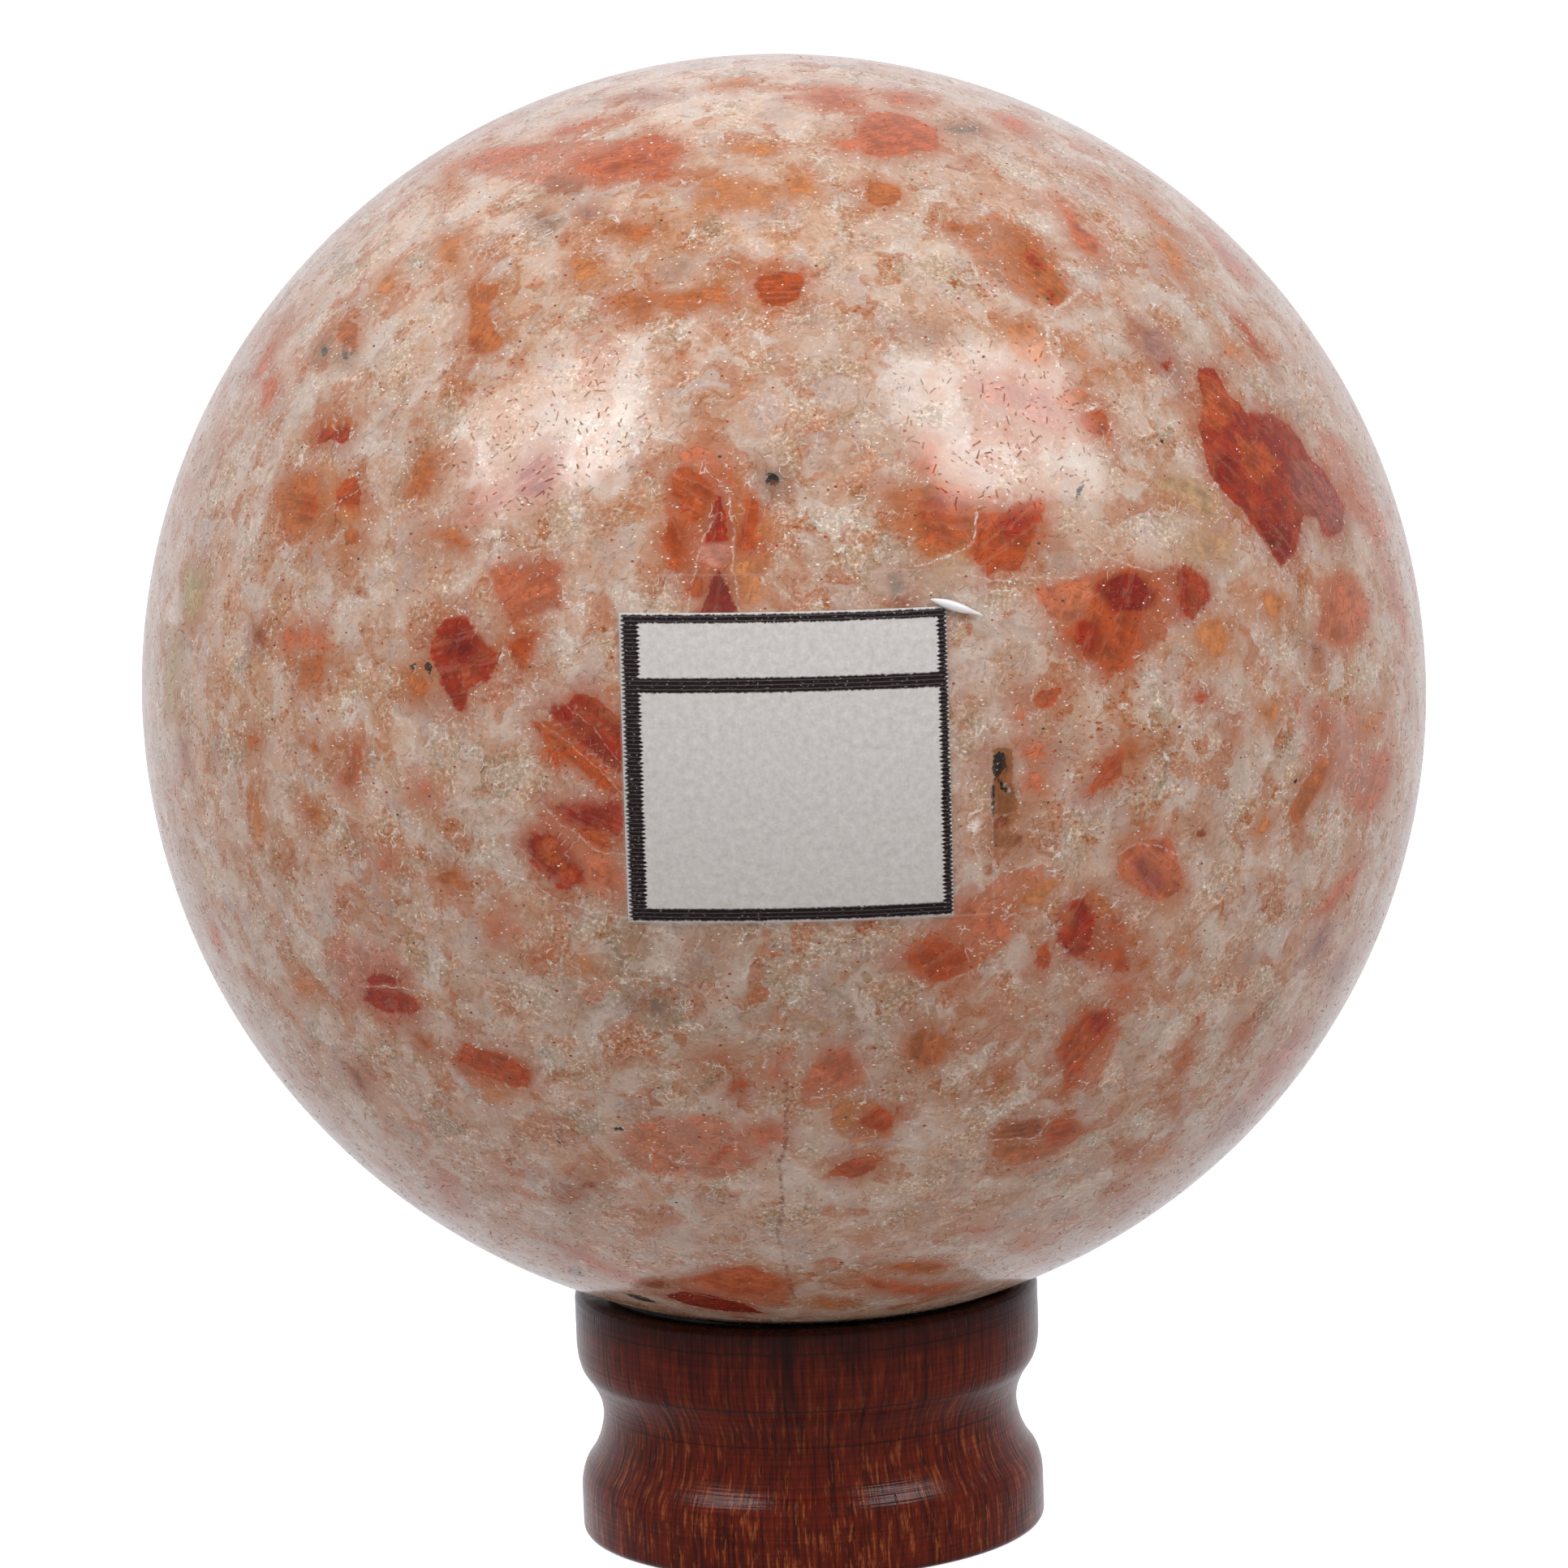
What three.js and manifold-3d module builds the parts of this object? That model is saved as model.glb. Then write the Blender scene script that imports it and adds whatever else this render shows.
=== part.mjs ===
// A polished sunstone sphere on a small turned wooden stand, with a bare
// paper label held on the front of the stone by a strip of clear tape.
// Units are millimetres and +Z is up. The origin is the middle of the
// stand's flat underside, and the label faces -Y.

import * as THREE from 'three';
import * as BufferGeometryUtils from 'three/addons/utils/BufferGeometryUtils.js';
import Module from 'manifold-3d';

const wasm = await Module();
wasm.setup();

// Driving dimensions of the stone. Ground by hand, it is about 1% out of
// round: a little long on a line that falls to the right, short across it.
const STONE_RADIUS = 35;
const LONG_HALF = 35.18;
const SHORT_HALF = 34.73;
const LONG_AXIS_FALL = THREE.MathUtils.degToRad(23);
const STONE_SPLITS = 15;
const TOUCH_TOLERANCE = 1e-5;
const MERGE_DISTANCE = 1e-4;

// Natural stained pit in the stone, beside the label
const PIT_ACROSS = 10.9;
const PIT_UP = 0.2;
const PIT_WIDTH = 1.4;
const PIT_HEIGHT = 5.0;
const PIT_DEPTH = 0.45;
const PIT_SIDES = 12;
const PIT_RINGS = 8;

// Driving dimensions of the stand. Two upright bands of one radius have a
// hollow waist between them, and the lower band has a small shoulder.
const STAND_HEIGHT = 13.8;
const BAND_RADIUS = 12.88;
const TOP_BAND_HEIGHT = 3.1;
const SHOULDER_RADIUS = 12.6;
const SHOULDER_BELOW = 9.95;
const LOWER_BAND_BELOW = 11.3;
const EDGE_ROUNDING = 0.45;
const STAND_SIDES = 60;

// The waist's hollow, as radius and depth below the rim, going up
const WAIST_OUTLINE = [
  [SHOULDER_RADIUS, SHOULDER_BELOW],
  [12.11, 9.2],
  [11.73, 8.3],
  [11.53, 7.2],
  [11.65, 6.2],
  [12.05, 5.3],
  [12.58, 4.5],
  [12.8, 3.8],
];
const WAIST_STEPS = 13;

// The dished seat: the stone touches only its edge
const SEAT_RADIUS = 11.35;
const SEAT_WALL_RADIUS = 10.15;
const SEAT_WALL_DEPTH = 1.4;
const SEAT_FLOOR_RADIUS = 7.35;
const SEAT_FLOOR_DEPTH = 2.6;
const SEAT_MIDDLE_DEPTH = 3;
const SEAT_GAP = 0.02;

// Driving dimensions of the label and the tape over it
const LABEL_WIDTH = 16.2;
const LABEL_HEIGHT = 15.6;
const LABEL_UP = 0.95;
const LABEL_TURN = THREE.MathUtils.degToRad(0.7);
const LABEL_GAP = 0.05;
const PAPER_THICKNESS = 0.1;
const TAPE_WIDTH = 18.3;
const TAPE_HEIGHT = 17.5;
const TAPE_ACROSS = 1.0;
const TAPE_UP = 1.85;
const TAPE_GAP = 0.2;
const TAPE_THICKNESS = 0.05;
const SHEET_STEPS = 9;

const stone = new THREE.MeshStandardMaterial({ color: '#d3aa97', roughness: 0.12, metalness: 0 });
const wood = new THREE.MeshStandardMaterial({ color: '#5c2419', roughness: 0.35, metalness: 0 });
const paper = new THREE.MeshStandardMaterial({ color: '#dcd8d4', roughness: 0.8, metalness: 0 });
const film = new THREE.MeshStandardMaterial({
  color: '#e6e4e0',
  roughness: 0.15,
  metalness: 0,
  transparent: true,
  opacity: 0.25,
});

// A round ball's point moved to the out-of-round stone's surface
const longAxis = new THREE.Vector3(Math.cos(LONG_AXIS_FALL), 0, -Math.sin(LONG_AXIS_FALL));
const shortAxis = new THREE.Vector3(Math.sin(LONG_AXIS_FALL), 0, Math.cos(LONG_AXIS_FALL));

function outOfRound(point) {
  const along = point.dot(longAxis) * (LONG_HALF / STONE_RADIUS - 1);
  const across = point.dot(shortAxis) * (SHORT_HALF / STONE_RADIUS - 1);
  return point.addScaledVector(longAxis, along).addScaledVector(shortAxis, across);
}

// The stone's surface at a place seen from the front, and out from it
function onStoneFront(across, up, out) {
  const depth = Math.sqrt(STONE_RADIUS ** 2 - across ** 2 - up ** 2);
  const point = new THREE.Vector3(across, -depth, up);
  const normal = point.clone().normalize();
  return outOfRound(point).addScaledVector(normal, out);
}

// The height of the stone's centre at which it first meets the seat's edge
function restingHeight() {
  let height = 0;
  const edge = new THREE.Vector3();
  for (let side = 0; side < STAND_SIDES; side += 1) {
    const angle = (side / STAND_SIDES) * 2 * Math.PI;
    edge.set(SEAT_RADIUS * Math.cos(angle), SEAT_RADIUS * Math.sin(angle), 0);
    let low = -STONE_RADIUS;
    let high = -STONE_RADIUS / 2;
    while (high - low > TOUCH_TOLERANCE) {
      edge.z = (low + high) / 2;
      const along = edge.dot(longAxis) / LONG_HALF;
      const across = edge.dot(shortAxis) / SHORT_HALF;
      const inside = along ** 2 + across ** 2 + (edge.y / STONE_RADIUS) ** 2 < 1;
      if (inside) high = edge.z;
      else low = edge.z;
    }
    height = Math.max(height, -low);
  }
  return STAND_HEIGHT + height + SEAT_GAP;
}

const stoneHeight = restingHeight();

function toSolid(geometry) {
  const bare = geometry.clone();
  bare.deleteAttribute('normal');
  bare.deleteAttribute('uv');
  const merged = BufferGeometryUtils.mergeVertices(bare, MERGE_DISTANCE);
  return new wasm.Manifold(new wasm.Mesh({
    numProp: 3,
    vertProperties: new Float32Array(merged.attributes.position.array),
    triVerts: new Uint32Array(merged.index.array),
  }));
}

function toGeometry(solid) {
  const mesh = solid.getMesh();
  const geometry = new THREE.BufferGeometry();
  geometry.setAttribute('position', new THREE.BufferAttribute(mesh.vertProperties, 3));
  geometry.setIndex(new THREE.BufferAttribute(mesh.triVerts, 1));
  geometry.computeVertexNormals();
  return geometry;
}

// One solid piece of stone, with its pit cut in as a shallow long hollow
function stoneGeometry() {
  const ball = new THREE.IcosahedronGeometry(STONE_RADIUS, STONE_SPLITS);
  const points = ball.attributes.position;
  const point = new THREE.Vector3();
  for (let i = 0; i < points.count; i += 1) {
    point.fromBufferAttribute(points, i).setLength(STONE_RADIUS);
    points.setXYZ(i, ...outOfRound(point));
  }
  const hollow = new THREE.SphereGeometry(1, PIT_SIDES, PIT_RINGS);
  hollow.scale(PIT_WIDTH / 2, PIT_DEPTH, PIT_HEIGHT / 2);
  hollow.rotateZ(Math.asin(PIT_ACROSS / STONE_RADIUS));
  hollow.translate(...onStoneFront(PIT_ACROSS, PIT_UP, 0));
  return toGeometry(toSolid(ball).subtract(toSolid(hollow)));
}

// The stand's outline from the middle of the underside, round the outside,
// over the rim and down into the dished seat. Heights are below the rim.
function standGeometry() {
  const at = ([radius, below]) => new THREE.Vector2(radius, STAND_HEIGHT - below);
  const bevel = BAND_RADIUS - EDGE_ROUNDING;
  const waist = new THREE.SplineCurve(WAIST_OUTLINE.map(at));
  const shoulderMiddle = [
    (SHOULDER_RADIUS + BAND_RADIUS) / 2,
    (SHOULDER_BELOW * 2 + LOWER_BAND_BELOW) / 3,
  ];
  const roundedCorner = [
    BAND_RADIUS - 0.3 * EDGE_ROUNDING,
    0.3 * EDGE_ROUNDING,
  ];
  const outline = [
    at([0, STAND_HEIGHT]),
    at([bevel, STAND_HEIGHT]),
    at([BAND_RADIUS, STAND_HEIGHT - EDGE_ROUNDING]),
    at([BAND_RADIUS, LOWER_BAND_BELOW]),
    at(shoulderMiddle),
    ...waist.getPoints(WAIST_STEPS),
    at([BAND_RADIUS, TOP_BAND_HEIGHT]),
    at([BAND_RADIUS, EDGE_ROUNDING]),
    at(roundedCorner),
    at([bevel, 0]),
    at([SEAT_RADIUS, 0]),
    at([SEAT_WALL_RADIUS, SEAT_WALL_DEPTH]),
    at([SEAT_FLOOR_RADIUS, SEAT_FLOOR_DEPTH]),
    at([0, SEAT_MIDDLE_DEPTH]),
  ];
  return new THREE.LatheGeometry(outline, STAND_SIDES).rotateX(Math.PI / 2);
}

// A thin sheet pressed onto the front of the stone
function sheetGeometry({ width, height, across, up, turn, gap, thickness }) {
  const sheet = new THREE.BoxGeometry(width, 1, height, SHEET_STEPS, 1, SHEET_STEPS);
  sheet.rotateY(turn);
  sheet.translate(across, 0, up);
  const points = sheet.attributes.position;
  for (let i = 0; i < points.count; i += 1) {
    const out = points.getY(i) < 0 ? gap + thickness : gap;
    points.setXYZ(i, ...onStoneFront(points.getX(i), points.getZ(i), out));
  }
  sheet.computeVertexNormals();
  return sheet;
}

function piece(name, geometry, material, height) {
  const mesh = new THREE.Mesh(geometry, material);
  mesh.name = name;
  mesh.position.z = height;
  return mesh;
}

const label = sheetGeometry({
  width: LABEL_WIDTH,
  height: LABEL_HEIGHT,
  across: 0,
  up: LABEL_UP,
  turn: LABEL_TURN,
  gap: LABEL_GAP,
  thickness: PAPER_THICKNESS,
});

const tape = sheetGeometry({
  width: TAPE_WIDTH,
  height: TAPE_HEIGHT,
  across: TAPE_ACROSS,
  up: TAPE_UP,
  turn: LABEL_TURN,
  gap: TAPE_GAP,
  thickness: TAPE_THICKNESS,
});

const sunstone = new THREE.Group();
sunstone.add(piece('wood_stand', standGeometry(), wood, 0));
sunstone.add(piece('sunstone_sphere', stoneGeometry(), stone, stoneHeight));
sunstone.add(piece('paper_label', label, paper, stoneHeight));
sunstone.add(piece('clear_tape', tape, film, stoneHeight));

export default sunstone;
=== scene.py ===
import math
from collections import namedtuple

import bmesh
import bpy
import numpy as np
from mathutils import Matrix, Vector


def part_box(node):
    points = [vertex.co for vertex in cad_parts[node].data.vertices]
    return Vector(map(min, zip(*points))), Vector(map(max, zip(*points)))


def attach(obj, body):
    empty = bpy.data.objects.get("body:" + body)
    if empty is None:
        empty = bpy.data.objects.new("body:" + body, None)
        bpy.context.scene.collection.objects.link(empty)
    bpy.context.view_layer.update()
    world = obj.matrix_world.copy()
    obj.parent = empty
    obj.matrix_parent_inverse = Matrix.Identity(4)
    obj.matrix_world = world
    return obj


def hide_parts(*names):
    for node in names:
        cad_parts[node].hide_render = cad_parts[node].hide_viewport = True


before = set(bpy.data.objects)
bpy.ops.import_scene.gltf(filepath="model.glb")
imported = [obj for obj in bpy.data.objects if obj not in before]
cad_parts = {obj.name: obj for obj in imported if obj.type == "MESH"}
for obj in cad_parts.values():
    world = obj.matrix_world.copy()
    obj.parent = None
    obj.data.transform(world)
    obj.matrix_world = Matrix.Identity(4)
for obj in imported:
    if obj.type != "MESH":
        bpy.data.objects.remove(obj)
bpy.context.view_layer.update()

# Camera
# A long lens looks slightly down at the front of the ball, and is rolled a
# little, so the stand leans to the right by two degrees.
MM = 0.001
CAMERA_AHEAD = 363.0
CAMERA_ABOVE = 51.0
CAMERA_DOWN = math.radians(8.798)
CAMERA_YAW = math.radians(0.03)
CAMERA_ROLL = math.radians(2.1)
LENS = 153.2
SENSOR = 36.0
PHOTO_SIZE = 1932

stone_low, stone_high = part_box("sunstone_sphere")
stone_middle = (stone_low + stone_high) / 2

camera_data = bpy.data.cameras.new("camera")
camera_data.lens = LENS
camera_data.sensor_width = SENSOR
camera_data.clip_start = 0.01
camera = bpy.data.objects.new("camera", camera_data)
camera_turn = (
    Matrix.Rotation(CAMERA_YAW, 3, "Z")
    @ Matrix.Rotation(math.radians(90) - CAMERA_DOWN, 3, "X")
    @ Matrix.Rotation(-CAMERA_ROLL, 3, "Z")
)
camera_place = stone_middle + Vector((0, -CAMERA_AHEAD, CAMERA_ABOVE)) * MM
camera.matrix_world = Matrix.Translation(camera_place) @ camera_turn.to_4x4()
bpy.context.scene.collection.objects.link(camera)
bpy.context.scene.camera = camera
bpy.context.scene.view_settings.view_transform = "Standard"


# Studio
# Two softboxes stand in front, high on the left and the right, each with a
# brighter middle. White walls and a plain pale floor give the rest. Right, up
# and back are the camera's own ways. Sizes are in mm, spin is in degrees and
# power in watts.
Softbox = namedtuple("Softbox", "name right up back width height spin power")
SOFTBOX_AWAY = 600.0
softboxes = [
    Softbox("softbox_left", -0.567, 0.672, 0.483, 330, 250, 50, 1.2),
    Softbox("softbox_left_middle", -0.482, 0.639, 0.600, 100, 140, 20, 0.26),
    Softbox("softbox_right", 0.546, 0.689, 0.484, 320, 280, -15, 1.34),
    Softbox("softbox_right_middle", 0.504, 0.600, 0.621, 140, 100, -8, 0.14),
]
for box in softboxes:
    light = bpy.data.lights.new(box.name, "AREA")
    light.shape = "RECTANGLE"
    light.size = box.width * MM
    light.size_y = box.height * MM
    light.energy = box.power
    holder = bpy.data.objects.new(box.name, light)
    toward = camera_turn @ Vector((box.right, box.up, box.back)).normalized()
    holder.location = stone_middle + toward * SOFTBOX_AWAY * MM
    spin = Matrix.Rotation(math.radians(box.spin), 3, "Z").to_quaternion()
    holder.rotation_euler = (toward.to_track_quat("Z", "Y") @ spin).to_euler()
    bpy.context.scene.collection.objects.link(holder)


def linear(hex_colour):
    """A colour written as sRGB hex, as the linear colour a socket takes."""
    parts = [int(hex_colour[i : i + 2], 16) / 255 for i in (1, 3, 5)]
    curved = [p / 12.92 if p <= 0.04045 else ((p + 0.055) / 1.055) ** 2.4 for p in parts]
    return (*curved, 1.0)


def add(tree, kind, inputs=None, **settings):
    """Adds a node with its settings, and with values, sockets or nodes on its inputs."""
    node = tree.nodes.new("ShaderNode" + kind if tree.type == "SHADER" else kind)
    for name, value in settings.items():
        setattr(node, name, value)
    for name, value in (inputs or {}).items():
        if isinstance(value, bpy.types.Node):
            value = next(socket for socket in value.outputs if socket.enabled)
        if isinstance(value, bpy.types.NodeSocket):
            tree.links.new(value, node.inputs[name])
        else:
            node.inputs[name].default_value = value
    return node


def new_material(name):
    """A new material and its node tree, which is still empty."""
    material = bpy.data.materials.new(name)
    material.use_nodes = True
    material.node_tree.nodes.clear()
    return material, material.node_tree


# The walls are darker on the camera's side of the room and brightest behind.
FRONT_WALL = 0.39
BACK_WALL = 0.84
BRIGHT_WAY = (-0.04, 1.0, -0.08)
world = bpy.data.worlds.new("white_room")
world.use_nodes = True
room = world.node_tree
room.nodes.clear()
seen = add(room, "Background", {"Color": linear("#ffffff"), "Strength": 1.0})
aim = add(room, "TexCoord")
aim = add(room, "VectorMath", {0: aim.outputs["Generated"], 1: BRIGHT_WAY}, operation="DOT_PRODUCT")
depth_light = add(
    room, "MapRange",
    {"Value": aim, "From Min": 0.2, "From Max": 1.0, "To Min": FRONT_WALL, "To Max": BACK_WALL},
    interpolation_type="SMOOTHSTEP",
)
walls = add(room, "Background", {"Color": linear("#fbfaff"), "Strength": depth_light})
path = add(room, "LightPath")
either = add(room, "MixShader", {0: path.outputs["Is Camera Ray"], 1: walls, 2: seen})
add(room, "OutputWorld", {"Surface": either})
bpy.context.scene.world = world

# The floor looks white, as a paper sweep does, and throws little light back. It
# isn't mirrored in the pieces, so their edges mirror the bright room instead.
FLOOR_REACH = 6.0
floor_data = bpy.data.meshes.new("floor")
corners = [(-FLOOR_REACH, -FLOOR_REACH, 0), (FLOOR_REACH, -FLOOR_REACH, 0)]
corners += [(FLOOR_REACH, FLOOR_REACH, 0), (-FLOOR_REACH, FLOOR_REACH, 0)]
floor_data.from_pydata(corners, [], [(0, 1, 2, 3)])
floor = bpy.data.objects.new("floor", floor_data)
bpy.context.scene.collection.objects.link(floor)
paper_sweep, tree = new_material("white_paper_sweep")
path = add(tree, "LightPath")
matt = add(tree, "BsdfDiffuse", {"Color": linear("#f4f3f1")})
lit = add(tree, "Emission", {"Color": linear("#ffffff"), "Strength": 0.85})
bright = add(tree, "AddShader", {0: matt, 1: lit})
dull = add(tree, "BsdfDiffuse", {"Color": linear("#c9c5c2")})
either = add(tree, "MixShader", {0: path.outputs["Is Camera Ray"], 1: dull, 2: bright})
add(tree, "OutputMaterial", {"Surface": either})
floor_data.materials.append(paper_sweep)
floor.visible_glossy = False


# Sunstone ball
# Natural feldspar, ground by hand to a ball that is about 1% out of round, and
# polished. It is milky and peach-coloured, with orange-red crystals, white
# boundaries between its grains, and glitter from flakes inside it.
BALL_RADIUS = 35.0
LONG_HALF = 35.18
SHORT_HALF = 34.73
LONG_AXIS_FALL = math.radians(23)
BALL_SEGMENTS = 126
FRONT_PULL = 0.35

long_axis = np.array([math.cos(LONG_AXIS_FALL), 0, -math.sin(LONG_AXIS_FALL)])
short_axis = np.array([math.sin(LONG_AXIS_FALL), 0, math.cos(LONG_AXIS_FALL)])
middle_mm = np.array(stone_middle) / MM


def out_of_round(points):
    """Moves points of a round ball to the stone's surface."""
    along = points @ long_axis * (LONG_HALF / BALL_RADIUS - 1)
    across = points @ short_axis * (SHORT_HALF / BALL_RADIUS - 1)
    return points + np.outer(along, long_axis) + np.outer(across, short_axis)


def unit(vectors):
    """The same directions, each one long."""
    return vectors / np.linalg.norm(vectors, axis=-1, keepdims=True)


def on_stone(photo_x, photo_y):
    """The direction from the stone's middle of what the photo shows there."""
    focal = LENS / SENSOR * PHOTO_SIZE
    half = PHOTO_SIZE / 2
    ray = np.array(camera_turn @ Vector((photo_x - half, half - photo_y, -focal)))
    eye = np.array(camera_place) / MM - middle_mm
    # The ray is followed in a space where the stone is a round ball
    squash = np.eye(3)
    squash += np.outer(long_axis, long_axis) * (BALL_RADIUS / LONG_HALF - 1)
    squash += np.outer(short_axis, short_axis) * (BALL_RADIUS / SHORT_HALF - 1)
    ray = unit(squash @ ray)
    eye = squash @ eye
    nearest = eye @ ray
    inside = max(BALL_RADIUS**2 - (eye @ eye - nearest**2), 0)
    return unit(eye + ray * (-nearest - math.sqrt(inside)))


# Directions of a ball made from a cube, closest together at the front
step = np.arange(BALL_SEGMENTS + 1)
one, two = (g.ravel() for g in np.meshgrid(step, step, indexing="ij"))
low_side = np.zeros_like(one)
high_side = low_side + BALL_SEGMENTS
sides = [
    (low_side, two, one),
    (high_side, one, two),
    (one, low_side, two),
    (two, high_side, one),
    (two, one, low_side),
    (one, two, high_side),
]
grid = np.concatenate([np.stack(side, axis=1) for side in sides])
places, index = np.unique(grid, axis=0, return_inverse=True)
index = index.reshape(6, BALL_SEGMENTS + 1, BALL_SEGMENTS + 1)
ball_faces = np.stack(
    [index[:, :-1, :-1], index[:, 1:, :-1], index[:, 1:, 1:], index[:, :-1, 1:]], axis=-1
).reshape(-1, 4)
ways = unit(np.tan((places / BALL_SEGMENTS * 2 - 1) * math.pi / 4))
front = np.array([0.0, -1.0, 0.0])
ways = unit(ways + FRONT_PULL * front)

# They are drawn closer still round the natural pit beside the label
Pit = namedtuple("Pit", "photo_x photo_y width height depth")
pit = Pit(photo_x=1238, photo_y=984, width=1.4, height=5.0, depth=0.42)
PIT_PULL = 0.45
PIT_PULL_REACH = 4.0


def across_and_up(way):
    """The directions right and up on the stone's surface, seen from outside."""
    right = unit(np.cross([0, 0, 1.0], way))
    return right, np.cross(way, right)


pit_way = on_stone(pit.photo_x, pit.photo_y)
away = ways - pit_way
pull = PIT_PULL * np.exp(-np.sum(away**2, axis=1) * (BALL_RADIUS / PIT_PULL_REACH) ** 2)
ways = unit(ways - away * pull[:, None])
ball = out_of_round(ways * BALL_RADIUS)

# The pit is a shallow long hollow with a torn floor. On the far side of the
# ball it counts as too far away to be there.
PIT_FAR_SIDE = 9.0
TEAR_SHARE = 0.35
TEAR_UP, TEAR_ACROSS, TEAR_SLANT = 7, 11, 5
pit_right, pit_up = across_and_up(pit_way)
pit_across = ways @ pit_right * BALL_RADIUS / (pit.width / 2)
pit_along = ways @ pit_up * BALL_RADIUS / (pit.height / 2)
pit_far = np.hypot(pit_across, pit_along) + np.where(ways @ pit_way < 0, PIT_FAR_SIDE, 0.0)
tear_up = np.sin(ball[:, 2] * TEAR_UP)
tear_across = np.sin(ball[:, 0] * TEAR_ACROSS + ball[:, 2] * TEAR_SLANT)
torn = 1 + TEAR_SHARE * tear_up * tear_across
ball -= ways * (pit.depth * np.clip(1 - pit_far**2, 0, 1) * torn)[:, None]

stone_data = bpy.data.meshes.new("sunstone_ball")
stone_data.from_pydata(((ball + middle_mm) * MM).tolist(), [], ball_faces.tolist())
corner, next_corner, far_corner = (ball[ball_faces[:, i]] for i in range(3))
face_normals = np.cross(next_corner - corner, far_corner - corner)
if (np.sum(face_normals * corner, axis=1) < 0).any():
    raise ValueError("ball faces point inwards")
stone_data.shade_smooth()
stone = bpy.data.objects.new("sunstone_ball", stone_data)
bpy.context.scene.collection.objects.link(stone)

# Colours of the crystals
crystal_colours = {
    "garnet": "#861c04",
    "brick": "#9f2b07",
    "coral": "#c06440",
    "rust": "#b14918",
    "amber": "#b56535",
    "apricot": "#c67c48",
    "salmon": "#c46c49",
    "rose": "#c4816d",
    "mauve": "#a4766a",
    "rosy": "#9c4f41",
    "umber": "#8f4a28",
    "tan": "#be9a74",
    "olive": "#b19d70",
    "smoke": "#ab9484",
    "slate": "#66625a",
    "ink": "#161513",
    "milk": "#e2d6ca",
    "stain": "#9d6237",
}

# How far in mm each kind of edge takes to fade
CRISP = 0.05
CLEAR = 0.14
SOFT = 0.4
HAZY = 0.9

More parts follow.
